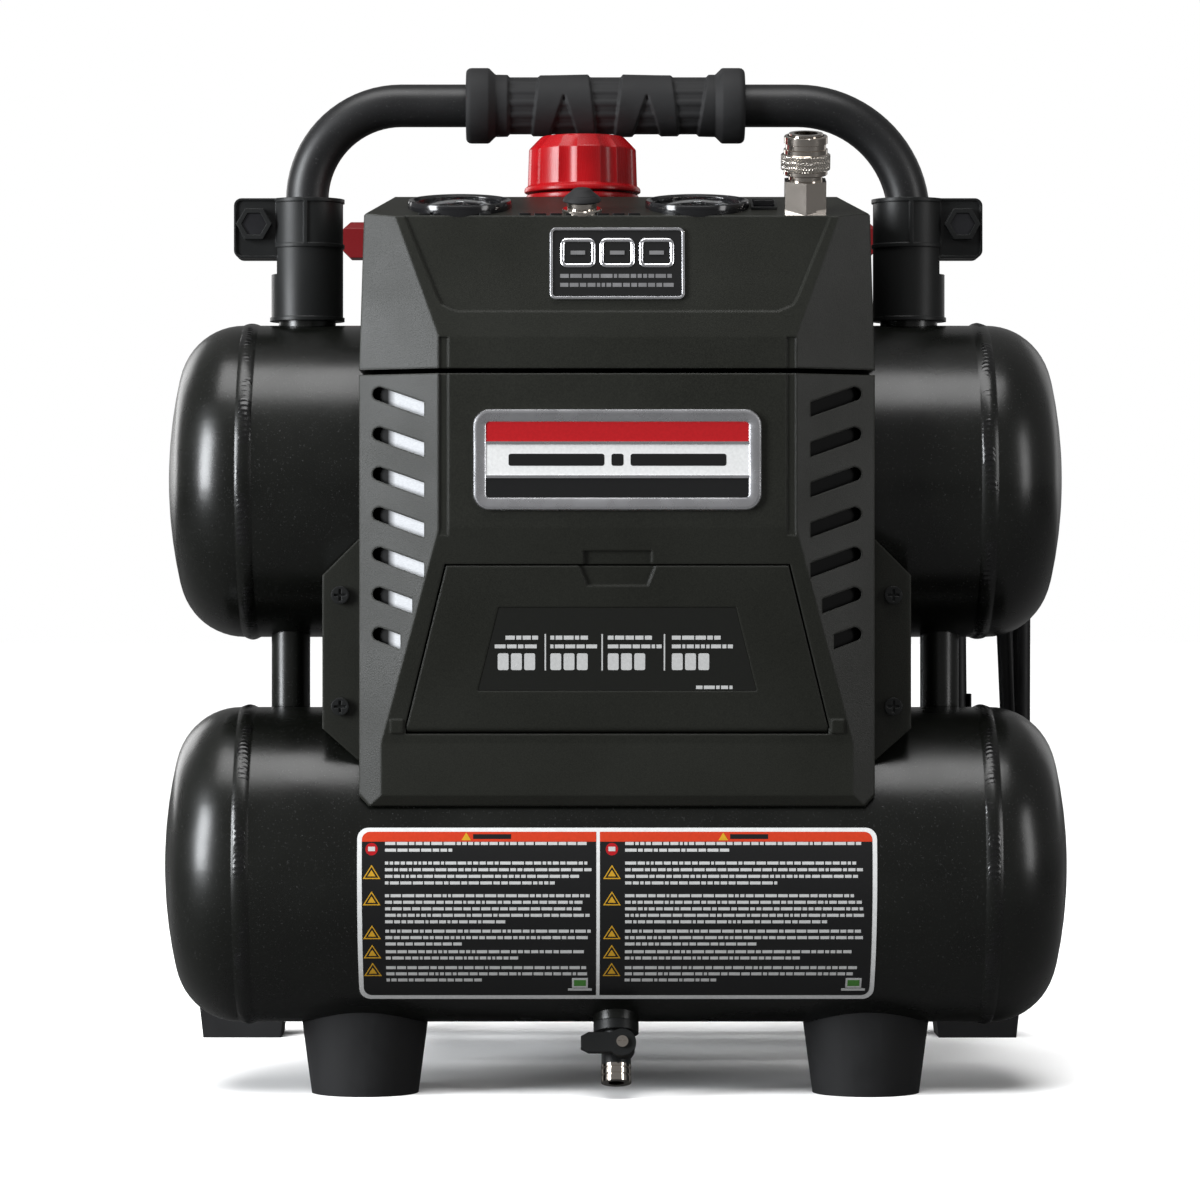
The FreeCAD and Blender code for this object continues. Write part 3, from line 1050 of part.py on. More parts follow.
hook_z = CORD_TOP + CORD_HALF - CORD_R - HOOK_R - 0.3
hook = fuse(cyl(CORD_X, 60, hook_z, HOOK_R, 115, (0, 1, 0)), Part.makeSphere(HOOK_R, V(CORD_X, 175, hook_z)),
            cyl(CORD_X, 175, hook_z, HOOK_R, 22))
cord_hook = max(hook.cut(upper_envelope).Solids, key=lambda s: s.Volume)


def cord_path():
    """From the plug over the hook, round the hanging coil and across to the motor's terminal box."""
    left = CORD_X - CORD_HALF
    right = CORD_X + CORD_HALF
    y = CORD_Y0
    edges = [Part.makeLine(V(left, y - CORD_LEAD_Y, CORD_END_Z), V(left, y, CORD_TOP))]
    for turn in range(CORD_TURNS):
        over = V(CORD_X, y, CORD_TOP + CORD_HALF)
        edges.append(Part.Arc(V(left, y, CORD_TOP), over, V(right, y, CORD_TOP)).toShape())
        edges.append(Part.makeLine(V(right, y, CORD_TOP), V(right, y + CORD_PITCH / 2, CORD_BOTTOM)))
        y += CORD_PITCH / 2
        under = V(CORD_X, y, CORD_BOTTOM - CORD_HALF)
        edges.append(Part.Arc(V(right, y, CORD_BOTTOM), under, V(left, y, CORD_BOTTOM)).toShape())
        if turn < CORD_TURNS - 1:
            edges.append(Part.makeLine(V(left, y, CORD_BOTTOM), V(left, y + CORD_PITCH / 2, CORD_TOP)))
            y += CORD_PITCH / 2
    bend = 20.0
    off = bend * (1 - math.sin(math.radians(45)))
    top = LEAD_Z + bend
    edges.append(Part.makeLine(V(left, y, CORD_BOTTOM), V(left, y, LEAD_Z)))
    edges.append(Part.Arc(V(left, y, LEAD_Z), V(left - off, y, top - off), V(left - bend, y, top)).toShape())
    edges.append(Part.makeLine(V(left - bend, y, top), V(bend, y, top)))
    edges.append(Part.Arc(V(bend, y, top), V(off, y, top - off), V(0, y, LEAD_Z)).toShape())
    edges.append(Part.makeLine(V(0, y, LEAD_Z), V(0, y, TERMINAL_Z - 6)))
    return Part.Wire(edges)


cord_start = V(CORD_X - CORD_HALF, CORD_Y0 - CORD_LEAD_Y, CORD_END_Z)
cord_along = V(0, CORD_LEAD_Y, CORD_TOP - CORD_END_Z)
cord_profile = Part.Wire([Part.makeCircle(CORD_R, cord_start, cord_along)])
power_cord = cord_path().makePipeShell([cord_profile], True, False)

plug_z = CORD_END_Z
plug_x = CORD_X - CORD_HALF
plug_y = CORD_Y0 - CORD_LEAD_Y
power_plug = fuse(cone(plug_x, plug_y, plug_z - 30, 12, 8.5, 30), cyl(plug_x, plug_y, plug_z - 36, 13, 6))
power_plug = power_plug.fuse(cyl(plug_x, plug_y, plug_z, 6.5, 8))
power_plug = power_plug.cut(cyl(plug_x, plug_y - 2, plug_z, 5.6, 20))
for x in (-6.3, 6.3):
    blade = box(plug_x + x - 0.75, plug_x + x + 0.75, plug_y - 3, plug_y + 3, plug_z - 54, plug_z - 36)
    power_plug = power_plug.fuse(blade)
power_plug = power_plug.fuse(cyl(plug_x, plug_y - 9, plug_z - 56, 2.4, 20))

# ---------------------------------------------------------------- write every piece

os.makedirs("parts", exist_ok=True)
write("upper_tank", fuse(upper_tank, cord_hook, *stubs))
write("lower_tank", lower_tank)
write("tank_spacer_tubes", *spacers)
write("handle_connectors", *both_posts(connector()))
write("handle_clamp_bolts", *both_posts(clamp_bolt()))
write("m6_nuts", *(both_posts(clamp_nut()) + front_nuts + rear_nuts))
write("handle_tube", handle_tube)
write("handle_grip", grip)
write("rubber_feet", *(front_feet + rear_feet))
write("rear_frame", rear_frame)
write("rear_handle", rear_handle)
write("pump_plate", pump_plate)
write("vibration_mounts", *mounts)
write("console_cover", console)
write("front_cover", cover)
write("cover_tray", tray)
write("vent_inserts", *vent_inserts)
write("housing_screws", *(cover_screws + bar_screws))
write("storage_bin", storage_bin)
write("storage_door", door)
write("door_hinge_pins", *hinge_pins)
write("badges", cover_badge, console_badge)
write("rating_plate", rating_plate)
write("tank_label", tank_label)
write("manifold", manifold)
write("regulator_body", regulator_body)
write("regulator_knob", knob)
write("regulator_panel_nut", panel_nut)
write("gauge_cases", *gauge_cases)
write("gauge_dials", *gauge_dials)
write("gauge_lenses", *gauge_lenses)
write("tank_needle", needles[0])
write("outlet_needle", needles[1])
write("breaker_collar", breaker_collar)
write("reset_button", reset_button)
write("rocker_housing", rocker_case)
write("power_rocker", rocker)
write("coupler_body", coupler_body)
write("coupler_sleeve", coupler_sleeve)
write("safety_valve", safety_valve)
write("safety_pull_ring", pull_ring)
write("pressure_switch", pressure_switch)
write("drain_body", hung(drain_body))
write("drain_lever", hung(drain_lever))
write("drain_screw", hung(drain_screw))
write("drain_outlet", hung(drain_outlet))
write("motor_housing", motor)
write("stator", stator)
write("rotor_shaft", shaft)
write("crank_discs", left_disc, right_disc)
write("cooling_fan", fan)
write("motor_bearings", bearing, mirror_x(bearing))
write("crankcases", crankcase(), mirror_x(crankcase()))
write("cylinder_barrels", cylinder_barrel(), mirror_x(cylinder_barrel()))
write("cylinder_heads", cylinder_head(), mirror_x(cylinder_head()))
write("left_piston", left_piston)
write("right_piston", right_piston)
write("check_valve", check_valve)
write("discharge_tube", discharge_tube)
write("power_cord", power_cord.fuse(power_plug))
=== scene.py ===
import json
import math
import random

import bmesh
import bpy
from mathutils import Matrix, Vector

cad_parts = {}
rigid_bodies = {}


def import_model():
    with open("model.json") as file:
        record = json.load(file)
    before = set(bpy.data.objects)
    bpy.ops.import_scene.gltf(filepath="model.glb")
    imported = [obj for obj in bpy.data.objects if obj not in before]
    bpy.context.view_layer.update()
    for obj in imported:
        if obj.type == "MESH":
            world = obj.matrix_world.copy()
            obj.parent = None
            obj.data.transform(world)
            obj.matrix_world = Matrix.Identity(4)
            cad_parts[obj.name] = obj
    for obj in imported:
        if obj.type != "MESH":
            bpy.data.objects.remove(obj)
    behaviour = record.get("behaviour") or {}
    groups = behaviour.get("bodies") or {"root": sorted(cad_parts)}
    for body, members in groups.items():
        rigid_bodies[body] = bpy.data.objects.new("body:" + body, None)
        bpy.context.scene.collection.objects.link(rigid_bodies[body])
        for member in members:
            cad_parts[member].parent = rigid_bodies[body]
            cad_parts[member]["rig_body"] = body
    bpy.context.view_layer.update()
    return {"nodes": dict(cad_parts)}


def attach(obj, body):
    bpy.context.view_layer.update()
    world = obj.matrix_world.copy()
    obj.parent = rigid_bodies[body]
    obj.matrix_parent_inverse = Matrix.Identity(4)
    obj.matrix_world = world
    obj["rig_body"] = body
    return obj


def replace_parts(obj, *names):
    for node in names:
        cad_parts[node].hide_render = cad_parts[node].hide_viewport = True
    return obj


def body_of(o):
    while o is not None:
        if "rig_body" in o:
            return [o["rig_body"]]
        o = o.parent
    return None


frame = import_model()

NODES = frame["nodes"]
MM = 0.001
RNG = random.Random(7)


# ---------------------------------------------------------------- material building blocks

def new_material(name):
    """A node material, its links and its Principled shader, ready to be fed."""
    mat = bpy.data.materials.new(name)
    mat.use_nodes = True
    return mat, mat.node_tree.links, mat.node_tree.nodes["Principled BSDF"]


def noise(mat, size_mm, detail=2.0, rough=0.5, stretch=(1, 1, 1)):
    """Noise whose features are about size_mm across, fixed to the piece."""
    nodes, links = mat.node_tree.nodes, mat.node_tree.links
    coord = nodes.new("ShaderNodeTexCoord")
    scale = nodes.new("ShaderNodeMapping")
    scale.inputs["Scale"].default_value = stretch
    tex = nodes.new("ShaderNodeTexNoise")
    tex.inputs["Scale"].default_value = 1.0 / (size_mm * MM)
    tex.inputs["Detail"].default_value = detail
    tex.inputs["Roughness"].default_value = rough
    links.new(coord.outputs["Object"], scale.inputs["Vector"])
    links.new(scale.outputs["Vector"], tex.inputs["Vector"])
    return tex.outputs["Fac"]


def ramp(mat, fac, stops):
    """Colour ramp from (position, colour) stops; a number stands for a grey."""
    node = mat.node_tree.nodes.new("ShaderNodeValToRGB")
    elements = node.color_ramp.elements
    while len(elements) > len(stops):
        elements.remove(elements[-1])
    while len(elements) < len(stops):
        elements.new(1.0)
    for element, (position, colour) in zip(elements, stops):
        element.position = position
        grey = isinstance(colour, (int, float))
        element.color = (colour, colour, colour, 1) if grey else (*colour, 1)
    mat.node_tree.links.new(fac, node.inputs["Fac"])
    return node.outputs["Color"]


def feed(mat, socket, fac, stops):
    """Drive a shader input from a colour ramp."""
    mat.node_tree.links.new(ramp(mat, fac, stops), socket)


def bump(mat, height, depth_mm, normal=None, strength=1.0):
    """A shading normal from a height, laid over another normal if one is given."""
    node = mat.node_tree.nodes.new("ShaderNodeBump")
    node.inputs["Distance"].default_value = depth_mm * MM
    node.inputs["Strength"].default_value = strength
    mat.node_tree.links.new(height, node.inputs["Height"])
    if normal is not None:
        mat.node_tree.links.new(normal, node.inputs["Normal"])
    return node.outputs["Normal"]


def scaled(colour, k):
    """A colour made k times as bright."""
    return tuple(c * k for c in colour)


def soft_edges(mat, radius_mm):
    """A shading normal that rounds every edge by radius_mm."""
    node = mat.node_tree.nodes.new("ShaderNodeBevel")
    node.samples = 4
    node.inputs["Radius"].default_value = radius_mm * MM
    return node.outputs["Normal"]


def edge_wear_and_highlight(mat, rounded):
    """Near 1 along rounded edges and 0 on flat stretches: wear and a painted highlight sit there."""
    nodes, links = mat.node_tree.nodes, mat.node_tree.links
    geometry = nodes.new("ShaderNodeNewGeometry")
    dot = nodes.new("ShaderNodeVectorMath")
    dot.operation = "DOT_PRODUCT"
    links.new(geometry.outputs["Normal"], dot.inputs[0])
    links.new(rounded, dot.inputs[1])
    return ramp(mat, dot.outputs["Value"], [(0.90, 1.0), (0.995, 0.0)])


def mix(mat, fac, a, b):
    """Blend two colours; a and b are either sockets or plain colours."""
    node = mat.node_tree.nodes.new("ShaderNodeMix")
    node.data_type = "RGBA"
    links = mat.node_tree.links
    for socket, value in ((node.inputs[0], fac), (node.inputs[6], a), (node.inputs[7], b)):
        if isinstance(value, bpy.types.NodeSocket):
            links.new(value, socket)
        elif isinstance(value, (int, float)):
            socket.default_value = value
        else:
            socket.default_value = (*value, 1)
    return node.outputs[2]


# ---------------------------------------------------------------- materials

def grained_plastic(name, colour, roughness, grain_mm, depth_mm, speckle, edge_mm=0.8):
    """Moulded plastic with a spark-eroded grain, paler along its edges with wear and a painted highlight.
    """
    mat, links, bsdf = new_material(name)
    grain = noise(mat, grain_mm, 3.0, 0.6)
    rounded = soft_edges(mat, edge_mm)
    cloud = noise(mat, 60.0, 3.0)
    base = ramp(mat, grain, [(0.35, scaled(colour, 1 - speckle)), (0.65, scaled(colour, 1 + speckle))])
    handled = ramp(mat, cloud, [(0.3, scaled(colour, 0.85)), (0.7, scaled(colour, 1.2))])
    base = mix(mat, 0.35, base, handled)
    # paler edges: partly wear, partly a painted highlight where the edges would catch the light
    base = mix(mat, edge_wear_and_highlight(mat, rounded), base, scaled(colour, 1.5))
    links.new(base, bsdf.inputs["Base Color"])
    feed(mat, bsdf.inputs["Roughness"], cloud, [(0.3, roughness - 0.05), (0.7, roughness + 0.06)])
    links.new(bump(mat, grain, depth_mm, rounded, 0.8), bsdf.inputs["Normal"])
    bsdf.inputs["Specular IOR Level"].default_value = 0.26
    return mat


def tank_paint(name, colour, roughness):
    """Satin powder coat: a faint orange peel, a little unevenness in the sheen and fine dust."""
    mat, links, bsdf = new_material(name)
    peel = noise(mat, 3.2, 2.0)
    fine = noise(mat, 0.7, 2.0)
    patch = noise(mat, 45.0, 4.0)
    dust = ramp(mat, noise(mat, 1.1, 5.0, 0.7), [(0.60, 0.0), (0.74, 1.0)])
    base = ramp(mat, patch, [(0.3, scaled(colour, 0.8)), (0.7, scaled(colour, 1.25))])
    base = mix(mat, 0.06, base, dust)
    links.new(base, bsdf.inputs["Base Color"])
    feed(mat, bsdf.inputs["Roughness"], patch, [(0.3, roughness - 0.04), (0.7, roughness + 0.05)])
    rounded = soft_edges(mat, 0.8)
    normal = bump(mat, peel, 0.035, rounded, 0.6)
    links.new(bump(mat, fine, 0.008, normal, 0.6), bsdf.inputs["Normal"])
    bsdf.inputs["Specular IOR Level"].default_value = 0.5
    return mat


def rubber(name, colour, roughness=0.72):
    """Matte rubber with mould bloom and a fine pebble."""
    mat, links, bsdf = new_material(name)
    pebble = noise(mat, 0.45, 3.0)
    bloom = noise(mat, 18.0, 5.0, 0.65)
    feed(mat, bsdf.inputs["Base Color"], bloom, [(0.35, colour), (0.7, scaled(colour, 1.7))])
    feed(mat, bsdf.inputs["Roughness"], bloom, [(0.3, roughness - 0.08), (0.7, roughness + 0.08)])
    links.new(bump(mat, pebble, 0.05, soft_edges(mat, 0.6), 0.7), bsdf.inputs["Normal"])
    bsdf.inputs["Specular IOR Level"].default_value = 0.35
    return mat


def glossy_plastic(name, colour, roughness, scratch=0.5, coat=0.25, specular=0.5):
    """Polished moulded plastic with sink marks and hairline scratches."""
    mat, links, bsdf = new_material(name)
    sink = noise(mat, 9.0, 1.0)
    hair = noise(mat, 0.5, 2.0, 0.5, (1, 1, 0.05))
    shade = noise(mat, 14.0, 2.0)
    feed(mat, bsdf.inputs["Base Color"], shade, [(0.3, scaled(colour, 0.86)), (0.7, scaled(colour, 1.1))])
    scratched = roughness + 0.22 * scratch
    feed(mat, bsdf.inputs["Roughness"], hair, [(0.55, roughness), (0.75, scratched)])
    links.new(bump(mat, sink, 0.03, soft_edges(mat, 0.5), 0.5), bsdf.inputs["Normal"])
    bsdf.inputs["Coat Weight"].default_value = coat
    bsdf.inputs["Coat Roughness"].default_value = 0.08
    bsdf.inputs["Specular IOR Level"].default_value = specular
    return mat


def metal(name, colour, roughness, grain_mm=0.4, depth_mm=0.01, tarnish=0.15, edge_mm=0.3):
    """Bare or plated metal with machining grain and uneven tarnish."""
    mat, links, bsdf = new_material(name)
    grain = noise(mat, grain_mm, 3.0, 0.6)
    cloud = noise(mat, 12.0, 5.0, 0.6)
    feed(mat, bsdf.inputs["Base Color"], cloud, [(0.3, scaled(colour, 1 - tarnish)), (0.65, colour)])
    polished = max(0.02, roughness - 0.04)
    feed(mat, bsdf.inputs["Roughness"], cloud, [(0.3, roughness + 0.1), (0.7, polished)])
    rounded = soft_edges(mat, edge_mm) if edge_mm else None
    links.new(bump(mat, grain, depth_mm, rounded, 0.6), bsdf.inputs["Normal"])
    bsdf.inputs["Metallic"].default_value = 1.0
    return mat


def printed(name, colour, roughness=0.35):
    """Ink under a thin laminate, with slight ink density changes."""
    mat, links, bsdf = new_material(name)
    ink = noise(mat, 1.5, 4.0)
    feed(mat, bsdf.inputs["Base Color"], ink, [(0.3, scaled(colour, 0.93)), (0.7, scaled(colour, 1.05))])
    links.new(bump(mat, noise(mat, 4.0, 2.0), 0.01, None, 0.4), bsdf.inputs["Normal"])
    bsdf.inputs["Roughness"].default_value = roughness
    return mat


def lens_glass(name):
    """Clear lens with faint smears."""
    mat, _, bsdf = new_material(name)
    smear = noise(mat, 8.0, 4.0)
    feed(mat, bsdf.inputs["Roughness"], smear, [(0.4, 0.02), (0.8, 0.09)])
    bsdf.inputs["Base Color"].default_value = (0.97, 0.98, 1.0, 1)
    bsdf.inputs["Transmission Weight"].default_value = 1.0
    bsdf.inputs["IOR"].default_value = 1.2
    return mat


def laminations(name, colour):
    """Stacked steel sheets seen edge-on, lying across the motor shaft."""
    mat, links, bsdf = new_material(name)
    nodes = mat.node_tree.nodes
    coord = nodes.new("ShaderNodeTexCoord")
    wave = nodes.new("ShaderNodeTexWave")
    wave.inputs["Scale"].default_value = 320.0
    wave.inputs["Distortion"].default_value = 0.4
    links.new(coord.outputs["Object"], wave.inputs["Vector"])
    sheets = wave.outputs["Fac"]
    feed(mat, bsdf.inputs["Base Color"], sheets, [(0.2, scaled(colour, 0.5)), (0.7, colour)])
    links.new(bump(mat, sheets, 0.05, None, 0.6), bsdf.inputs["Normal"])
    bsdf.inputs["Metallic"].default_value = 0.9
    bsdf.inputs["Roughness"].default_value = 0.45
    return mat


# stretch along X, in mm, where the vent inserts get a painted highlight; outside it they get painted shade
LIT_STRETCH_START = -114.5
LIT_STRETCH_WIDTH = 100.0


def lit_and_shaded_strip(name, left, right):
    """Brushed strip with painted light: a painted highlight over one stretch on the left of the machine,
    painted shade elsewhere.
    """
    mat, links, bsdf = new_material(name)
    nodes = mat.node_tree.nodes
    coord = nodes.new("ShaderNodeTexCoord")
    split = nodes.new("ShaderNodeSeparateXYZ")
    links.new(coord.outputs["Object"], split.inputs[0])
    shifted = nodes.new("ShaderNodeMath")
    shifted.inputs[1].default_value = -LIT_STRETCH_START * MM
    links.new(split.outputs["X"], shifted.inputs[0])
    end = LIT_STRETCH_WIDTH * MM
    # painted shade mask: 1 outside the lit stretch (the slots' left ends and the right side), 0 inside it
    side = ramp(mat, shifted.outputs[0], [(0.0, 1.0), (0.0002, 0.0), (end, 0.0), (end + 0.0001, 1.0)])
    streaks = noise(mat, 0.6, 3.0, 0.5, (0.05, 1, 1))
    brushed = ramp(mat, streaks, [(0.3, scaled(left, 0.85)), (0.7, left)])
    links.new(mix(mat, side, brushed, right), bsdf.inputs["Base Color"])
    bsdf.inputs["Roughness"].default_value = 0.5
    bsdf.inputs["Specular IOR Level"].default_value = 0.08
    return mat


TANK = tank_paint("tank_satin_black", (0.0040, 0.0045, 0.0034), 0.27)
TUBE = tank_paint("handle_satin_black", (0.007, 0.007, 0.0075), 0.42)
FRAME_PAINT = tank_paint("frame_black", (0.018, 0.018, 0.019), 0.42)
HOUSING = grained_plastic("housing_charcoal", (0.0150, 0.0156, 0.0124), 0.40, 0.6, 0.13, 0.40, 1.6)
BLACK = grained_plastic("black_moulding", (0.011, 0.0115, 0.0115), 0.40, 0.4, 0.04, 0.25)
GLOSS_BLACK = glossy_plastic("gloss_black", (0.010, 0.010, 0.011), 0.14)
RED = glossy_plastic("red_moulding", (0.38, 0.004, 0.007), 0.27, 0.3, 0.0, 0.32)
# matte red of the lift bar, darkened with painted shade for its place in the shade behind the console
SHADED_RED_MATTE = grained_plastic("red_bar_shaded", (0.15, 0.006, 0.008), 0.38, 0.5, 0.03, 0.12)
RUBBER = rubber("black_rubber", (0.010, 0.010, 0.0105))
CORD = rubber("cord_jacket", (0.006, 0.006, 0.0065), 0.5)
NICKEL = metal("bright_nickel", (0.66, 0.60, 0.54), 0.08, 0.6, 0.0012, 0.12, 0)
ZINC = metal("zinc_plate", (0.55, 0.55, 0.54), 0.32)
DARK_STEEL = metal("black_oxide_steel", (0.06, 0.06, 0.065), 0.38)
BRASS = metal("machined_brass", (0.75, 0.55, 0.26), 0.25)
CAST = metal("cast_aluminium", (0.50, 0.51, 0.52), 0.46, 0.9, 0.10, 0.25, 0.8)
COPPER = metal("drawn_copper", (0.80, 0.42, 0.27), 0.30)
SILVER = metal("badge_silver", (0.80, 0.80, 0.83), 0.24, 0.6, 0.001, 0.10, 0)
KNURL_METAL = metal("knurled_nickel", (0.62, 0.58, 0.53), 0.2, 0.6, 0.001, 0.12, 0)
WELD = tank_paint("weld_gloss_black", (0.006, 0.006, 0.006), 0.20)
# vent inserts: painted highlight over the left slots, painted shade at their left ends and on the right
VENT = lit_and_shaded_strip("vent_insert", (0.72, 0.73, 0.75), (0.004, 0.004, 0.004))
STACK = laminations("steel_laminations", (0.34, 0.35, 0.37))
LENS = lens_glass("gauge_lens")
WHITE_INK = printed("white_ink", (0.83, 0.83, 0.82))
BLACK_INK = printed("black_ink", (0.007, 0.007, 0.0072))
PLATE_BLACK = printed("plate_black", (0.0080, 0.0084, 0.0068), 0.32)
GREY_WHITE_INK = printed("grey_white_ink", (0.62, 0.62, 0.61))
RED_INK = printed("red_ink", (0.46, 0.010, 0.014), 0.25)
ORANGE_INK = printed("orange_ink", (0.62, 0.045, 0.012))
YELLOW_INK = printed("yellow_ink", (0.66, 0.36, 0.02))
GREEN_INK = printed("green_ink", (0.07, 0.24, 0.04))
NEEDLE_RED = printed("needle_red", (0.65, 0.03, 0.02), 0.4)

NODE_LOOKS = {
    "upper_tank": TANK, "lower_tank": TANK, "tank_spacer_tubes": TANK, "handle_tube": TUBE,
    "rear_frame": FRAME_PAINT, "pump_plate": FRAME_PAINT, "rear_handle": SHADED_RED_MATTE,
    "handle_connectors": BLACK, "handle_clamp_bolts": DARK_STEEL, "m6_nuts": DARK_STEEL,
    "handle_grip": RUBBER, "rubber_feet": RUBBER, "vibration_mounts": RUBBER,
    "console_cover": HOUSING, "front_cover": HOUSING, "cover_tray": HOUSING, "storage_door": HOUSING,
    "storage_bin": BLACK, "vent_inserts": VENT, "housing_screws": BLACK, "door_hinge_pins": BLACK,
    "badges": SILVER, "rating_plate": PLATE_BLACK, "tank_label": WHITE_INK, "manifold": CAST,
    "regulator_body": CAST, "regulator_knob": RED, "regulator_panel_nut": RED, "gauge_cases": GLOSS_BLACK,
    "gauge_dials": WHITE_INK, "gauge_lenses": LENS, "tank_needle": NEEDLE_RED, "outlet_needle": NEEDLE_RED,
    "breaker_collar": NICKEL, "reset_button": BLACK, "rocker_housing": BLACK, "power_rocker": GLOSS_BLACK,
    "coupler_body": NICKEL, "coupler_sleeve": NICKEL, "safety_valve": BRASS, "safety_pull_ring": ZINC,
    "pressure_switch": BLACK, "drain_body": BLACK, "drain_lever": BLACK, "drain_screw": NICKEL,
    "drain_outlet": NICKEL, "motor_housing": CAST, "stator": STACK, "rotor_shaft": STACK,
    "crank_discs": CAST, "cooling_fan": BLACK, "motor_bearings": ZINC, "crankcases": CAST,
    "cylinder_barrels": CAST, "cylinder_heads": CAST, "left_piston": CAST, "right_piston": CAST,
    "check_valve": BRASS, "discharge_tube": COPPER, "power_cord": CORD,
}
for name, node in NODES.items():
    node.data.materials.clear()
    node.data.materials.append(NODE_LOOKS[name])


# ---------------------------------------------------------------- mesh helpers

MERGE_WITHIN = 1e-6
FLAT = math.radians(0.4)
SLIGHT_CREASE = math.radians(4.0)
CREASE_WIDTH = 0.004
ROUND_EDGES_OVER = math.radians(30.0)


def add_object(name, bm, look, body, smooth_angle=40.0):
    """Turn a bmesh into a piece that rides on a body, smooth except along its sharp edges."""
    bmesh.ops.recalc_face_normals(bm, faces=bm.faces)
    limit = math.radians(smooth_angle)
    for face in bm.faces:
        face.smooth = True
    for edge in bm.edges:
        edge.smooth = len(edge.link_faces) == 2 and edge.calc_face_angle(0.0) < limit
    mesh = bpy.data.meshes.new(name)
    bm.to_mesh(mesh)
    bm.free()
    mesh.materials.append(look)
    piece = bpy.data.objects.new(name, mesh)
    bpy.context.scene.collection.objects.link(piece)
    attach(piece, body)
    return piece


def apply_modifiers(piece):
    """Bake the piece's modifiers into its mesh."""
    graph = bpy.context.evaluated_depsgraph_get()
    baked = bpy.data.meshes.new_from_object(piece.evaluated_get(graph))
    piece.modifiers.clear()
    piece.data = baked


def body_of_node(name):
    """The body that a CAD node rides on."""
    return body_of(NODES[name])[0]


def moulded(node, name, width_mm):
    """A copy of a CAD node with its sharp edges rounded, standing in for the node."""
    bm = bmesh.new()
    bm.from_mesh(NODES[node].data)
    bmesh.ops.remove_doubles(bm, verts=bm.verts, dist=MERGE_WITHIN)
    bmesh.ops.dissolve_limit(bm, angle_limit=math.radians(0.6), verts=bm.verts, edges=bm.edges)
    piece = add_object(name, bm, NODE_LOOKS[node], body_of_node(node), math.degrees(ROUND_EDGES_OVER))
    bevel = piece.modifiers.new("edge", "BEVEL")
    bevel.width = width_mm * MM
    bevel.segments = 2
    bevel.limit_method = "ANGLE"
    bevel.angle_limit = ROUND_EDGES_OVER
    bevel.miter_outer = "MITER_ARC"
    weigh = piece.modifiers.new("shade", "WEIGHTED_NORMAL")
    weigh.keep_sharp = False
    apply_modifiers(piece)
    for polygon in piece.data.polygons:
        polygon.use_smooth = True
    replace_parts(piece, node)


def flat_regions(bm):
    """Group the faces into flat regions and give the width of the region that each face is in."""
    widths = {}
    for seed in bm.faces:
        if seed in widths:
            continue
        region, queue = {seed}, [seed]
        while queue:
            for edge in queue.pop().edges:
                if len(edge.link_faces) == 2 and edge.calc_face_angle(0.0) < FLAT:
                    for other in edge.link_faces:
                        if other not in region:
                            region.add(other)
                            queue.append(other)
        points = [vert.co for face in region for vert in face.verts]
        spread = [max(p[i] for p in points) - min(p[i] for p in points) for i in range(3)]
        area = sum(face.calc_area() for face in region)
        for face in region:
            widths[face] = area / max(spread)
    return widths


def creased(node, name):
    """A copy of a CAD node, smooth over its curves and crisp at the creases between its flats."""
    bm = bmesh.new()
    bm.from_mesh(NODES[node].data)
    bmesh.ops.remove_doubles(bm, verts=bm.verts, dist=MERGE_WITHIN)
    bm.edges.index_update()
    widths = flat_regions(bm)
    crisp = set()
    for edge in bm.edges:
        if len(edge.link_faces) != 2:
            continue
        angle = edge.calc_face_angle(0.0)
        narrow = min(widths[face] for face in edge.link_faces)
        if angle > ROUND_EDGES_OVER or (angle > SLIGHT_CREASE and narrow > CREASE_WIDTH):
            crisp.add(edge.index)
    piece = add_object(name, bm, NODE_LOOKS[node], body_of_node(node), 180.0)
    for edge in piece.data.edges:
        edge.use_edge_sharp = edge.index in crisp
    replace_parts(piece, node)


def skin(bm, rings, wrap=False):
    """Join rings of points with quads; wrap also joins the last ring to the first."""
    rows = [[bm.verts.new(p) for p in ring] for ring in rings]
    count = len(rows[0])
    following = rows[1:] + (rows[:1] if wrap else [])
    for low, high in zip(rows, following):
        for i in range(count):
            j = (i + 1) % count
            bm.faces.new((low[i], low[j], high[j], high[i]))
    return rows


# ---------------------------------------------------------------- stage, light and camera

FLOOR_REACH = 30.0
FLOOR_BOUNCE = 0.06
AMBIENT_WHITE = 0.10
REFLECTED_WHITE = 0.22
CAMERA_PLACE = (-0.026, -2.6015, 0.250)
CAMERA_SHIFT = (35.0 / 1200.0, 7.0 / 1200.0)


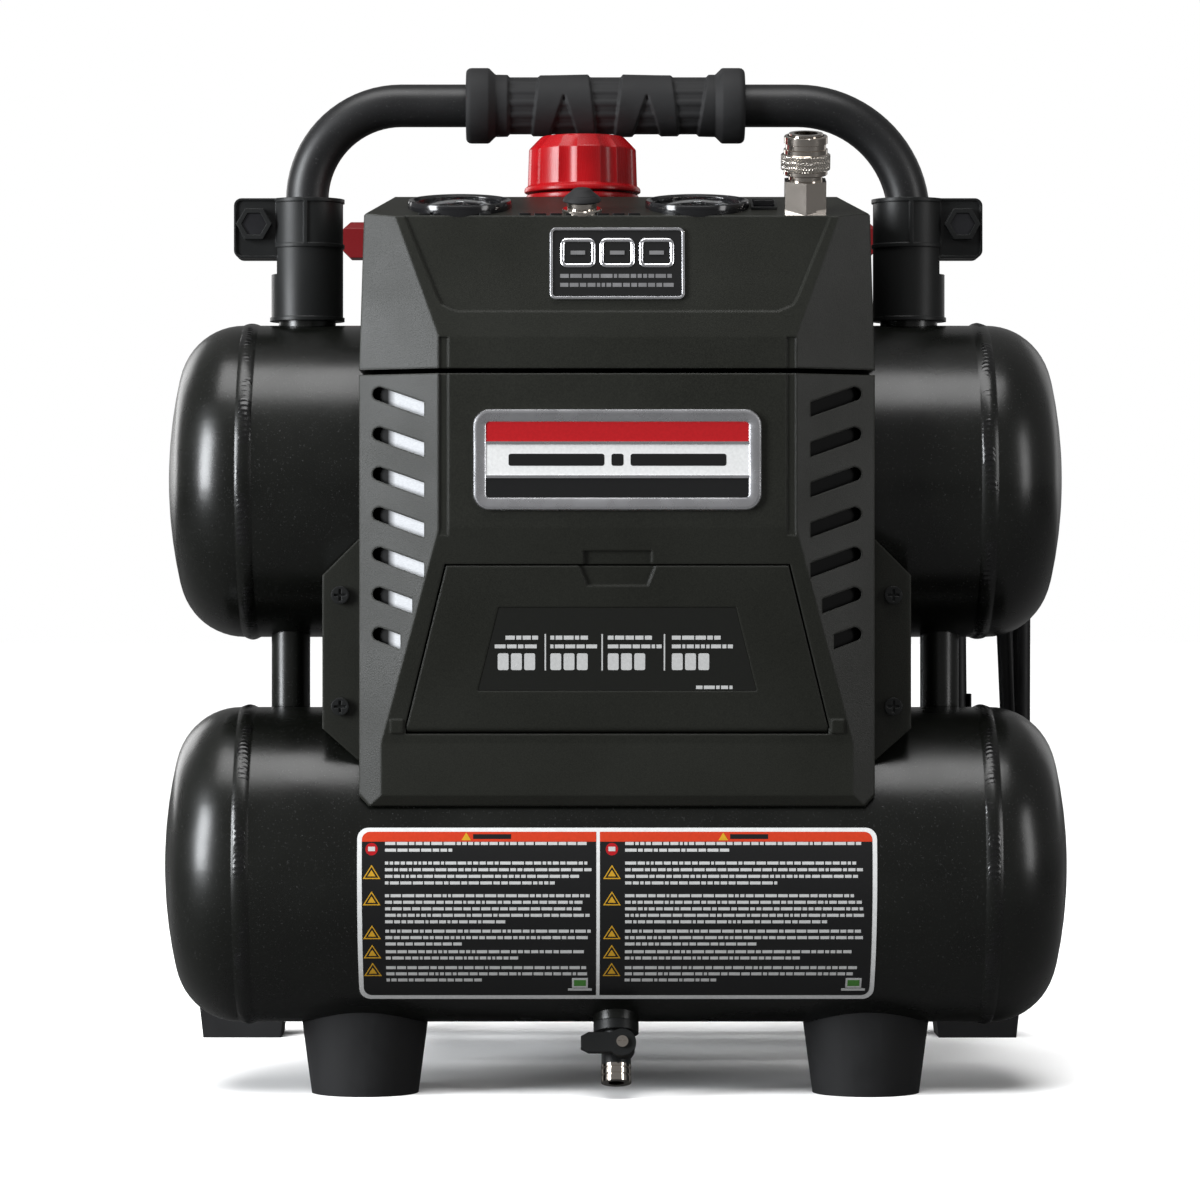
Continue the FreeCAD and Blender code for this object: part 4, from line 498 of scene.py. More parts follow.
def add_stage():
    """A pale floor that a wide light of its own keeps white far away, and that bounces little light."""
    bm = bmesh.new()
    bmesh.ops.create_grid(bm, x_segments=1, y_segments=1, size=FLOOR_REACH)
    mesh = bpy.data.meshes.new("floor")
    bm.to_mesh(mesh)
    bm.free()
    floor = bpy.data.objects.new("floor", mesh)
    bpy.context.scene.collection.objects.link(floor)
    mat, links, bsdf = new_material("floor_paper")
    path = mat.node_tree.nodes.new("ShaderNodeLightPath")
    seen = ramp(mat, noise(mat, 400.0, 2.0), [(0.3, 0.90), (0.7, 0.92)])
    tone = mix(mat, path.outputs["Is Camera Ray"], (FLOOR_BOUNCE,) * 3, seen)
    links.new(tone, bsdf.inputs["Base Color"])
    bsdf.inputs["Roughness"].default_value = 0.9
    bsdf.inputs["Specular IOR Level"].default_value = 0.1
    mesh.materials.append(mat)
    only_floor = bpy.data.collections.new("only_floor")
    only_floor.objects.link(floor)
    data = bpy.data.lights.new("floor_wash", "SUN")
    data.energy = 4.9
    data.angle = math.radians(34.0)
    wash = bpy.data.objects.new("floor_wash", data)
    wash.rotation_euler = (math.radians(40.0), 0, math.radians(-8.0))
    wash.light_linking.receiver_collection = only_floor
    bpy.context.scene.collection.objects.link(wash)


def softbox(name, place, target, width, height, watts, colour=(1, 1, 1)):
    """A rectangular light at a place, facing a target."""
    data = bpy.data.lights.new(name, "AREA")
    data.shape = "RECTANGLE"
    data.size = width
    data.size_y = height
    data.energy = watts
    data.color = colour
    light = bpy.data.objects.new(name, data)
    light.location = place
    light.rotation_euler = (Vector(target) - Vector(place)).to_track_quat("-Z", "Y").to_euler()
    light.visible_camera = False
    bpy.context.scene.collection.objects.link(light)


def add_world():
    """White to the camera, dim in reflections and dimmer as ambient light, so that black stays black."""
    world = bpy.data.worlds.new("studio")
    bpy.context.scene.world = world
    world.use_nodes = True
    nodes, links = world.node_tree.nodes, world.node_tree.links
    background = nodes["Background"]
    path = nodes.new("ShaderNodeLightPath")
    ambient = None
    for output, value in (("Is Glossy Ray", REFLECTED_WHITE), ("Is Camera Ray", 1.0)):
        pick = nodes.new("ShaderNodeMix")
        pick.data_type = "FLOAT"
        pick.inputs[2].default_value = AMBIENT_WHITE
        if ambient is not None:
            links.new(ambient, pick.inputs[2])
        pick.inputs[3].default_value = value
        links.new(path.outputs[output], pick.inputs[0])
        ambient = pick.outputs[0]
    links.new(ambient, background.inputs["Strength"])
    background.inputs["Color"].default_value = (1, 1, 1, 1)


def add_camera():
    """A long lens at the height of the housing, looking level at the front."""
    data = bpy.data.cameras.new("camera")
    data.sensor_width = 36.0
    data.lens = 144.0
    data.shift_x, data.shift_y = CAMERA_SHIFT
    camera = bpy.data.objects.new("camera", data)
    camera.location = CAMERA_PLACE
    camera.rotation_euler = (math.radians(90.0), 0, 0)
    bpy.context.scene.collection.objects.link(camera)
    bpy.context.scene.camera = camera


add_stage()
add_world()
add_camera()
softbox("key_left", (-1.95, -1.25, 0.75), (0, -0.1, 0.3), 0.75, 1.4, 78, (0.94, 0.97, 1.0))
softbox("fill_right", (1.8, -1.35, 0.7), (0, -0.1, 0.3), 0.5, 1.3, 10)
softbox("top", (-0.2, -0.6, 2.1), (0, -0.1, 0.3), 1.8, 0.9, 25)
softbox("rear_left", (-1.5, 2.0, 0.9), (0, 0, 0.3), 1.0, 1.2, 9)
softbox("rear_right", (1.5, 2.0, 0.9), (0, 0, 0.3), 1.0, 1.2, 2)
bpy.context.scene.view_settings.view_transform = "Standard"
bpy.context.scene.view_settings.look = "None"


# ---------------------------------------------------------------- placing

TANK_AXIS_Y = -101.5
LOWER_AXIS = (-25.0, 117.5)
UPPER_AXIS = (0.0, 315.4)
DECK_TILT = math.radians(14.73)
CONSOLE_LEAN = math.radians(10.26)
DOOR_LEAN = math.radians(7.73)
LABEL_R = 81.35


def at(x, y, z):
    """A point in metres from millimetres, y counted from the upper tank's axis."""
    return Vector((x, y + TANK_AXIS_Y, z)) * MM


def framed(origin, up, out):
    """A placing function: u to the right, v along up and w along out, in millimetres from an origin."""
    start, along, away = Vector(origin), Vector(up), Vector(out)

    def place(u, v, w=0.0):
        point = start + Vector((u, 0, 0)) + along * v + away * w
        return at(*point)
    return place


def leaning(origin, tilt, back):
    """A placing function for a face that leans by tilt, back being 1 for backwards and -1 for forwards."""
    rise, lean = math.cos(tilt), math.sin(tilt)
    return framed(origin, (0, back * lean, rise), (0, -rise, back * lean))


DECK_BACK = (0, math.cos(DECK_TILT), math.sin(DECK_TILT))
DECK_UP = (0, -math.sin(DECK_TILT), math.cos(DECK_TILT))
on_deck = framed((0, -108.0, 444.8), DECK_BACK, DECK_UP)
on_console = leaning((0, -112.306, 421.0), CONSOLE_LEAN, 1)
on_cover = leaning((0, -119.0, 323.0), 0.0, 1)
on_door = leaning((0, -110.784, 229.0), DOOR_LEAN, -1)


def on_label(x, z, w=0.0):
    """A point of the label that wraps the lower tank, w above its surface."""
    turn = math.asin((z - LOWER_AXIS[1]) / LABEL_R)
    reach = LABEL_R + w
    return at(x, LOWER_AXIS[0] - reach * math.cos(turn), LOWER_AXIS[1] + reach * math.sin(turn))


def add_prism(bm, place, outline, low, high):
    """A closed flat piece: one outline at two heights, capped."""
    rows = skin(bm, [[place(u, v, w) for u, v in outline] for w in (low, high)])
    bm.faces.new(rows[0][::-1])
    bm.faces.new(rows[1])


def add_strip(bm, place, spans, low, high):
    """A closed sheet from (v, left, right) spans; it follows a surface that is curved along v."""
    rings = []
    for v, left, right in spans:
        corners = ((left, low), (right, low), (right, high), (left, high))
        rings.append([place(u, v, w) for u, w in corners])
    rows = skin(bm, rings)
    bm.faces.new(rows[0][::-1])
    bm.faces.new(rows[-1])


def add_bar(bm, place, left, right, bottom, top, low, high, rows=1):
    """A rectangular bar, in several rows where it has to follow a curve."""
    spans = [(bottom + (top - bottom) * i / rows, left, right) for i in range(rows + 1)]
    add_strip(bm, place, spans, low, high)


def rounded_outline(half_w, half_h, radius, steps=6, centre=(0, 0)):
    """A rectangle with round corners, counter-clockwise."""
    points = []
    for k, (sx, sy) in enumerate(((1, 1), (-1, 1), (-1, -1), (1, -1))):
        for i in range(steps + 1):
            turn = math.radians(90 * k + 90 * i / steps)
            x = centre[0] + sx * (half_w - radius) + radius * math.cos(turn)
            y = centre[1] + sy * (half_h - radius) + radius * math.sin(turn)
            points.append((x, y))
    return points


def add_rim(bm, place, half_w, half_h, radius, profile, centre=(0, 0)):
    """A closed moulding round a rectangle; the profile lists (inset, height) pairs in order."""
    rings = []
    for inset, height in profile:
        outline = rounded_outline(half_w - inset, half_h - inset, max(0.3, radius - inset), 6, centre)
        rings.append([place(u, v, height) for u, v in outline])
    skin(bm, rings, True)


def turned(bm, place, centre, profile, segments=96, wrap=True):
    """A turned ring or body: (radius, height) pairs swept round a centre on a placing function."""
    turns = [2 * math.pi * i / segments for i in range(segments)]
    rings = []
    for radius, height in profile:
        spots = [(centre[0] + radius * math.cos(t), centre[1] + radius * math.sin(t)) for t in turns]
        rings.append([place(u, v, height) for u, v in spots])
    return skin(bm, rings, wrap)


# ---------------------------------------------------------------- handle grip

GRIP_CENTRE = (-5.0, 511.0)
GRIP_END = 72.4
GRIP_BORE = 11.1
GRIP_BAND_R = 16.1
GRIP_WINDOW_R = 14.3
GRIP_RIBS = 14
GRIP_SEGMENTS = 140
GRIP_STEPS = 226


def blend_to(a, b, t):
    """The value a share t of the way from a to b."""
    return a + (b - a) * t


def smooth_step(x, low, high):
    """0 below low and 1 above high, with a smooth rise between them."""
    t = min(1.0, max(0.0, (x - low) / (high - low)))
    return t * t * (3 - 2 * t)


def inside(x, low, high, soft=0.7):
    """1 between low and high, falling to 0 over a soft border."""
    return smooth_step(x, low - soft, low + soft) * (1 - smooth_step(x, high - soft, high + soft))


def grip_band(x, drop):
    """How much of a raised band covers the grip at x; drop runs from 0 at the top to 1 underneath."""
    cover = inside(x, -58.0, -50.3) + inside(x, blend_to(53, 48, drop), 58.0)
    legs = max(0.0, (drop - 0.35) / 0.65)
    for side in (-1, 1):
        centre = 21.5 * side
        spread = blend_to(13.0, 16.7, drop)
        arch = inside(x, centre - spread, centre + spread)
        half = 7.0 * legs
        window = inside(x, centre - half, centre + half) if half > 0.4 else 0.0
        cover += arch * (1 - window)
    return min(1.0, cover)


def grip_radius(x, turn):
    """Outer radius of the grip between its collars."""
    drop = (1 - math.sin(turn)) / 2
    cover = grip_band(x, drop)
    rib = 0.55 * smooth_step(math.cos(GRIP_RIBS * turn), -0.2, 0.7)
    return blend_to(GRIP_WINDOW_R + rib, GRIP_BAND_R + 0.25 * math.cos(x * 0.09), cover)


def make_grip():
    """Rubber grip: end collars, ribbed windows and raised bands that fork into legs underneath."""
    bm = bmesh.new()
    collar = [(-GRIP_END, GRIP_BORE), (-GRIP_END, 17.6), (-71.9, 18.6), (-70.8, 19.4), (-69.4, 19.6)]
    collar += [(-61.2, 19.6), (-60.3, 19.3), (-57.6, 16.6), (-56.8, 16.1)]
    between = [(-56.8 + 113.6 * i / GRIP_STEPS, None) for i in range(1, GRIP_STEPS)]
    loops = []
    for x, radius in collar + between + [(-x, radius) for x, radius in reversed(collar)]:
        loop = []
        for k in range(GRIP_SEGMENTS):
            turn = 2 * math.pi * k / GRIP_SEGMENTS
            r = radius or grip_radius(x, turn)
            loop.append(at(GRIP_CENTRE[0] + x, -r * math.cos(turn), GRIP_CENTRE[1] + r * math.sin(turn)))
        loops.append(loop)
    skin(bm, loops, True)
    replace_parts(add_object("grip", bm, RUBBER, body_of_node("handle_grip"), 50.0), "handle_grip")


# ---------------------------------------------------------------- regulator knob

KNOB_CENTRE = (-17.0, -24.0)
# height, radius and share of a flute's depth, from the foot to the top
KNOB_PROFILE = [
    (463.2, 26.0, 0.0), (463.2, 29.3, 0.0), (463.6, 29.9, 0.0), (464.6, 30.0, 0.0), (465.6, 29.7, 0.0),
    (466.3, 28.9, 0.2), (466.9, 28.2, 1.0), (476.0, 27.9, 1.0), (485.3, 27.6, 1.0), (485.9, 27.3, 1.0),
    (486.4, 26.8, 1.0), (489.0, 24.4, 0.8), (491.4, 22.0, 0.6), (491.9, 21.5, 0.3), (492.2, 20.9, 0.0),
    (492.2, 16.0, 0.0), (491.6, 14.8, 0.0),
]
FLUTE_DEPTH = 1.5
FLUTE_HALF = 10.0
FLUTE_START = -16.0
FLUTE_PITCH = 45.0
KNOB_SEGMENTS = 144


def flute(degrees):
    """Depth of the shallow hollows that run up the side of the knob."""
    offset = (degrees - FLUTE_START + FLUTE_PITCH / 2) % FLUTE_PITCH - FLUTE_PITCH / 2
    return FLUTE_DEPTH * max(0.0, 1 - (offset / FLUTE_HALF) ** 2)


def make_knob():
    """Regulator knob: a flanged foot, a fluted side and a dished top."""
    bm = bmesh.new()
    loops = []
    for z, radius, share in KNOB_PROFILE:
        loop = []
        for k in range(KNOB_SEGMENTS):
            degrees = FLUTE_START + 360.0 * k / KNOB_SEGMENTS
            r = radius - share * flute(degrees)
            turn = math.radians(degrees)
            loop.append(at(KNOB_CENTRE[0] + r * math.sin(turn), KNOB_CENTRE[1] - r * math.cos(turn), z))
        loops.append(loop)
    rows = skin(bm, loops)
    bm.faces.new(rows[0][::-1])
    bm.faces.new(rows[-1])
    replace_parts(add_object("knob", bm, RED, body_of_node("regulator_knob"), 17.0), "regulator_knob")


# ---------------------------------------------------------------- quick coupler

COUPLER_PLACE = (94.2, 13.0)
KNURL_LOW = 21.4
KNURL_HIGH = 29.0
KNURL_TEETH = 46
KNURL_DEPTH = 0.38
KNURL_PITCH = 1.65


def make_knurl():
    """Diamond knurling on the raised band of the coupler's sleeve."""
    bm = bmesh.new()
    segments = KNURL_TEETH * 8
    rows = 34
    loops = [(11.5, KNURL_LOW, 0.0), (12.0, KNURL_LOW, 0.0)]
    for i in range(1, rows):
        loops.append((12.0, blend_to(KNURL_LOW, KNURL_HIGH, i / rows), KNURL_DEPTH))
    loops += [(12.0, KNURL_HIGH, 0.0), (11.5, KNURL_HIGH, 0.0)]
    rings = []
    for radius, height, depth in loops:
        slope = (height - KNURL_LOW) * 2 * math.pi / KNURL_PITCH
        ring = []
        for k in range(segments):
            turn = 2 * math.pi * k / segments
            left = abs(math.sin((KNURL_TEETH * turn + slope) / 2))
            right = abs(math.sin((KNURL_TEETH * turn - slope) / 2))
            r = radius + depth * (1.6 * min(left, right) - 0.5)
            u = COUPLER_PLACE[0] + r * math.cos(turn)
            v = COUPLER_PLACE[1] + r * math.sin(turn)
            ring.append(on_deck(u, v, height))
        rings.append(ring)
    skin(bm, rings, True)
    add_object("sleeve_knurl", bm, KNURL_METAL, body_of_node("coupler_sleeve"), 25.0)


def make_coupler_ring():
    """The coupler's sliding sleeve: a band for the fingers, a groove and a lip above it."""
    bm = bmesh.new()
    section = [(9.2, 18.7), (10.6, 18.7), (11.0, 19.1), (11.0, 20.8), (11.8, 21.3), (11.8, 29.1)]
    section += [(11.0, 29.6), (11.0, 31.6), (10.1, 32.0), (10.1, 34.2), (10.9, 34.6), (10.9, 37.9)]
    section += [(10.5, 38.4), (9.2, 38.4)]
    turned(bm, on_deck, COUPLER_PLACE, section)
    piece = add_object("coupler_ring", bm, NICKEL, body_of_node("coupler_sleeve"), 20.0)
    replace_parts(piece, "coupler_sleeve")


# ---------------------------------------------------------------- weld beads

WELD_X = 188.5
WELD_HALF = 4.1
WELD_RADIUS = 80.9
WELD_ROOT = 80.2
WELD_RIPPLES = 176


def make_weld(name, axis, side):
    """A ring weld with overlapping fish-scale ripples, a little uneven in height and line."""
    bm = bmesh.new()
    samples = 6
    count = WELD_RIPPLES * samples
    across = 12
    phases = [RNG.uniform(0, 6.28) for _ in range(4)]
    rings = []
    for k in range(count):
        turn = 2 * math.pi * k / count
        wander = 0.28 * math.sin(5 * turn + phases[0]) + 0.2 * math.sin(13 * turn + phases[1])
        swell = 1 + 0.14 * math.sin(9 * turn + phases[2]) + 0.10 * math.sin(31 * turn + phases[3])
        ring = []
        for j in range(across + 1):
            u = -1 + 2 * j / across
            phase = (k / samples + 0.9 * u * u) % 1.0
            crown = (1 - u * u) * (1.05 + 0.26 * (1 - phase) ** 1.5) * swell
            r = WELD_RADIUS + crown if abs(u) < 1 else WELD_RADIUS - 0.3
            x = side * (WELD_X + wander + WELD_HALF * u)
            ring.append(at(x, axis[0] - r * math.cos(turn), axis[1] + r * math.sin(turn)))
        for u in (1, -1):
            x = side * (WELD_X + WELD_HALF * u)
            ring.append(at(x, axis[0] - WELD_ROOT * math.cos(turn), axis[1] + WELD_ROOT * math.sin(turn)))
        rings.append(ring)
    skin(bm, rings, True)
    add_object(name, bm, WELD, "chassis", 60.0)


# ---------------------------------------------------------------- badges and printing

def words(bm, place, left, right, v, height, share, low, high):
    """A row of short bars that reads as a line of small print without being any."""
    end = left + (right - left) * share
    u = left
    while u < end - 1.5:
        length = min(RNG.uniform(1.4, 6.0), end - u)
        if length > 0.8:
            add_bar(bm, place, u, u + length, v - height / 2, v + height / 2, low, high)
        u += length + 0.7


def make_badges():
    """A small silver-outlined badge on the console and a larger silver-framed one on the cover."""
    rims = bmesh.new()
    fine = [(0, -1.1), (0, 0.1), (0.35, 0.4), (1.05, 0.4), (1.4, 0.1), (1.4, -1.1)]
    add_rim(rims, on_console, 33.5, 18.3, 3.0, fine)
    broad = [(0, 0.1), (0, 1.5), (0.5, 2.2), (1.3, 2.5), (1.9, 2.5), (5.2, 2.0), (6.0, 1.6)]
    broad += [(6.4, 1.0), (6.4, 0.1)]
    add_rim(rims, on_cover, 71.4, 25.0, 8.0, broad)
    for v in (-8.4, 8.4):
        add_bar(rims, on_cover, -65.4, 65.4, v - 0.7, v + 0.7, 0.1, 1.9)
    piece = add_object("badge_frames", rims, SILVER, "chassis", 25.0)
    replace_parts(piece, "badges")

    field = bmesh.new()
    add_prism(field, on_console, rounded_outline(32.4, 17.2, 1.8), -1.1, -0.4)
    add_bar(field, on_cover, -65.6, 65.6, -19.2, -8.6, 0.1, 1.25)
    add_object("badge_dark_fields", field, BLACK_INK, "chassis", 25.0)

    shine = bmesh.new()
    bright = [(0, -0.5), (0, 0.0), (0.5, 0.3), (1.3, 0.3), (1.8, 0.0), (1.8, -0.5)]
    for u in (-19.6, 0.0, 19.6):
        add_rim(shine, on_console, 8.6, 7.4, 3.2, bright, (u, 5.4))
        add_bar(shine, on_console, u - 3.6, u + 3.6, 4.4, 6.4, -0.5, 0.2)
    for v in (-6.4, -11.0):
        words(shine, on_console, -28.4, 28.4, v, 2.0, 1.0, -0.5, -0.25)
    add_object("badge_bright_bars", shine, SILVER, "chassis", 25.0)

    for name, look, bottom, top in (("badge_white_field", WHITE_INK, -7.9, 7.9),
                                    ("badge_red_field", RED_INK, 8.6, 19.2)):
        plain = bmesh.new()
        add_bar(plain, on_cover, -65.6, 65.6, bottom, top, 0.1, 1.25)
        add_object(name, plain, look, "chassis", 25.0)
    dark = bmesh.new()
    for centre, half in ((-30.25, 23.75), (0.0, 3.0), (30.25, 23.75)):
        add_prism(dark, on_cover, rounded_outline(half, 3.0, 1.2, 4, (centre, 0)), 1.2, 1.35)
    add_object("badge_dark_bars", dark, BLACK_INK, "chassis", 25.0)


def make_rating_print():
    """Four generic blocks of pale bars on the door's plate, with thin dividers between them."""
    bm = bmesh.new()
    body = body_of_node("storage_door")
    blocks = [(-55.6, -61.0, -39.4, True), (-33.3, -33.3, -14.0, False),
              (-4.7, -4.7, 18.5, False), (27.2, 27.2, 53.0, False)]
    tails = (0.0, 4.0, 3.6, 5.6)
    for (upper, lower, right, flush), tail in zip(blocks, tails):
        words(bm, on_door, upper, right, 5.8, 2.0, 1.0, -0.35, 0.0)
        words(bm, on_door, lower, right + tail, 1.4, 1.9, 1.0, -0.35, 0.0)
        start = lower + (1.5 if flush else 0.0)
        for k in range(3):
            left = start + 6.6 * k
            add_prism(bm, on_door, rounded_outline(2.7, 4.2, 0.9, 4, (left + 2.7, -6.3)), -0.35, 0.0)
    for u in (-35.8, -7.5, 23.5):
        add_bar(bm, on_door, u - 0.35, u + 0.35, -10.7, 7.6, -0.35, 0.0)
    words(bm, on_door, 39.3, 57.5, -19.2, 1.7, 1.0, -0.35, 0.0)
    add_object("rating_print", bm, GREY_WHITE_INK, body, 25.0)


PANEL_ROWS = 60


def label_panel(left, right, bottom, top, corner, round_left, round_right):
    """Spans of a panel whose corners are rounded on the chosen sides."""
    spans = []
    heights = [corner * (1 - math.cos(math.radians(15 * i))) for i in range(7)]
    tall = top - bottom
    middle = [corner + (tall - 2 * corner) * i / PANEL_ROWS for i in range(1, PANEL_ROWS)]
    for h in heights + middle + [tall - v for v in reversed(heights)]:
        edge = min(h, tall - h)
        cut = 0.0
        if edge < corner:
            cut = corner - math.sqrt(max(0.0, corner ** 2 - (corner - edge) ** 2))
        spans.append((bottom + h, left + (cut if round_left else 0), right - (cut if round_right else 0)))
    return spans


def triangle(bm, x, z, reach, height):
    """A triangular symbol on the label, in thin steps so that it follows the curve."""
    spans = []
    for i in range(9):
        rise = i / 8
        half = reach * (1 - rise) + 0.12
        spans.append((z + reach * (1.6 * rise - 0.8), x - half, x + half))
    add_strip(bm, on_label, spans, 0.0, height)


def make_label():
    """A generic two-column information label: headers, small symbols and bars for text."""
    layers = {name: bmesh.new() for name in ("panels", "header", "text", "yellow", "dark", "red", "green")}
    sheet = bmesh.new()
    add_strip(sheet, on_label, label_panel(-129.7, 129.7, 51.9, 139.8, 5.5, True, True), -0.3, 0.0)
    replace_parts(add_object("label_sheet", sheet, WHITE_INK, "chassis", 25.0), "tank_label")
    columns = ((-127.4, -10.4, True, -122.5, -115.8, -12.5), (-8.6, 127.4, False, -2.6, 4.0, 125.2))
    paragraphs = ((132.0, 2), (122.3, 4), (106.0, 5), (88.0, 3), (77.4, 2), (69.0, 3))
    symbols = (117.8, 104.6, 87.4, 77.4, 68.0)
    for left, right, round_left, icon_x, text_left, text_right in columns:
        panel = label_panel(left, right, 54.0, 137.8, 4.0, round_left, not round_left)
        add_strip(layers["panels"], on_label, panel, -0.2, 0.06)
        spans = [span for span in panel if span[0] > 133.4]
        add_strip(layers["header"], on_label, [(132.9, left, right)] + spans, -0.15, 0.10)
        middle = (left + right) / 2
        add_bar(layers["dark"], on_label, middle - 3, middle + 16, 134.2, 136.6, 0.0, 0.14)
        triangle(layers["yellow"], middle - 6.4, 135.4, 2.3, 0.2)
        turns = [0.3142 * i for i in range(20)]
        disc = [(icon_x + 3.1 * math.cos(turn), 129.2 + 3.1 * math.sin(turn)) for turn in turns]
        add_prism(layers["red"], on_label, disc, 0.0, 0.12)
        add_bar(layers["text"], on_label, icon_x - 1.7, icon_x + 1.7, 128.2, 130.4, 0.0, 0.16)
        for z in symbols:
            triangle(layers["yellow"], icon_x, z, 4.3, 0.14)
            triangle(layers["dark"], icon_x, z - 0.2, 3.3, 0.18)
            triangle(layers["yellow"], icon_x, z - 0.6, 1.9, 0.22)
        for top, lines in paragraphs:
            for line in range(lines):
                share = RNG.uniform(0.3, 0.95) if line == lines - 1 else RNG.uniform(0.94, 1.0)
                z = top - 3.3 * line
                words(layers["text"], on_label, text_left, text_right, z, 1.5, share, 0.0, 0.14)
        mark = text_right - 4.0
        add_bar(layers["text"], on_label, mark - 8, mark + 4, 56.6, 57.8, 0.0, 0.14, 2)
        add_bar(layers["text"], on_label, mark - 6, mark + 2, 58.2, 63.4, 0.0, 0.14, 6)
        add_bar(layers["green"], on_label, mark - 5, mark + 1, 59.2, 62.4, 0.0, 0.2, 4)
    looks = {"panels": BLACK_INK, "header": ORANGE_INK, "text": GREY_WHITE_INK, "yellow": YELLOW_INK,
             "dark": BLACK_INK, "red": RED_INK, "green": GREEN_INK}
    for name, bm in layers.items():
        add_object("label_" + name, bm, looks[name], "chassis", 25.0)


# ---------------------------------------------------------------- gauges

# place across the deck, place up the deck and full-scale reading
GAUGE_CENTRES = ((-79.0, 27.0, 200), (40.6, 27.0, 150))
# height of the dials' faces against the deck
DIAL_FACE = -4.5
DIAL_START = -135.0
DIAL_SWEEP = 270.0
DIAL_TICKS = 50
ARC_FROM = 0.8


def dial_turn(fraction):
    """Angle of a reading, clockwise from the top of the dial; 0 is the lowest reading and 1 the highest."""
    return math.radians(DIAL_START + DIAL_SWEEP * fraction)


def dial_point(centre, fraction, radius):
    """The place of a reading on a dial, at a radius."""
    turn = dial_turn(fraction)
    return centre[0] + radius * math.sin(turn), centre[1] + radius * math.cos(turn)


def add_tick(bm, centre, fraction, inner, outer, half):
    """One line of a dial's scale."""
    turn = dial_turn(fraction)
    across = (math.cos(turn) * half, -math.sin(turn) * half)
    outline = []
    for radius, sign in ((inner, -1), (outer, -1), (outer, 1), (inner, 1)):
        x, y = dial_point(centre, fraction, radius)
        outline.append((x + sign * across[0], y + sign * across[1]))
    add_prism(bm, on_deck, outline[::-1], DIAL_FACE - 0.05, DIAL_FACE + 0.06)


def add_number(bm, text, centre, size):
    """Print a number on a dial with the built-in font, as a thin solid."""
    curve = bpy.data.curves.new("number", "FONT")
    curve.body = text
    curve.size = size
    curve.extrude = 0.05
    curve.align_x = "CENTER"
    curve.align_y = "CENTER"
    curve.resolution_u = 3
    carrier = bpy.data.objects.new("number", curve)
    bpy.context.scene.collection.objects.link(carrier)
    graph = bpy.context.evaluated_depsgraph_get()
    mesh = bpy.data.meshes.new_from_object(carrier.evaluated_get(graph))
    for vertex in mesh.vertices:
        x, y, z = vertex.co
        vertex.co = on_deck(centre[0] + x, centre[1] + y, DIAL_FACE + 0.02 + z)
    bm.from_mesh(mesh)
    bpy.data.objects.remove(carrier)
    bpy.data.curves.remove(curve)
    bpy.data.meshes.remove(mesh)


def make_dials():
    """Scale, numbers and a coloured arc on both dials."""
    scale = bmesh.new()
    arc = bmesh.new()
    for u, back, full in GAUGE_CENTRES:
        centre = (u, back)
        low, high = DIAL_FACE - 0.05, DIAL_FACE + 0.06
        for k in range(DIAL_TICKS + 1):
            major = k % 10 == 0
            middle = k % 5 == 0
            inner = 15.6 if major else 16.8 if middle else 17.6
            add_tick(scale, centre, k / DIAL_TICKS, inner, 19.2, 0.32 if major else 0.16)
        for k in range(6):
            add_number(scale, str(full * k // 5), dial_point(centre, k / 5, 12.6), 3.0)
        add_bar(scale, on_deck, u - 3.4, u + 3.4, back - 9.2, back - 8.0, low, high)
        for k in range(10):
            start, end = ARC_FROM + 0.02 * k, ARC_FROM + 0.02 * (k + 1)
            corners = [(start, 19.6), (start, 20.6), (end, 20.6), (end, 19.6)]
            outline = [dial_point(centre, fraction, radius) for fraction, radius in corners]
            add_prism(arc, on_deck, outline[::-1], DIAL_FACE - 0.05, DIAL_FACE + 0.05)
    add_object("dial_scales", scale, BLACK_INK, "chassis", 25.0)
    add_object("dial_arcs", arc, RED_INK, "chassis", 25.0)


COLLAR_R = 26.2
COLLAR_LOW = 2.1
COLLAR_HIGH = 5.0
COLLAR_FOOT = -1.0
COLLAR_SEGMENTS = 120


def make_gauge_collars():
    """Glossy collars round both gauges; their tops lie flatter than the deck, so they stand up in front."""
    bm = bmesh.new()
    section = [(22.6, None), (25.9, None), (COLLAR_R, 0.0), (26.1, 0.72), (25.7, 0.94), (25.0, 1.0)]
    section += [(24.2, 0.96), (23.4, 0.80), (22.6, 0.55)]
    for u, back, _ in GAUGE_CENTRES:
        rings = []
        for radius, share in section:
            ring = []
            for i in range(COLLAR_SEGMENTS):
                turn = 2 * math.pi * i / COLLAR_SEGMENTS
                depth = radius * math.sin(turn)
                top = blend_to(COLLAR_LOW, COLLAR_HIGH, (1 - depth / COLLAR_R) / 2)
                w = COLLAR_FOOT if share is None else top * share
                ring.append(on_deck(u + radius * math.cos(turn), back + depth, w))
            rings.append(ring)
        skin(bm, rings, True)
    add_object("gauge_collars", bm, GLOSS_BLACK, "chassis", 30.0)


# ---------------------------------------------------------------- deck marks and reset button

MARK_PITCH = 7.8
RESET_PLACE = (-17.5, 11.0)


def make_deck_marks():
    """Raised moulded bars along the front edge of the deck, one group for each row of controls."""
    bm = bmesh.new()
    for start, end in ((-50.0, 12.4), (27.9, 53.2), (-100.0, -62.0)):
        count = round((end - start) / MARK_PITCH)
        pitch = (end - start) / count
        for k in range(count):
            centre = (start + pitch * (k + 0.5), 3.4)
            outline = rounded_outline(pitch / 2 - 0.9, 0.9, 0.4, 3, centre)
            add_prism(bm, on_deck, outline, -0.3, 1.0)
    add_object("deck_marks", bm, BLACK_INK, "chassis", 30.0)


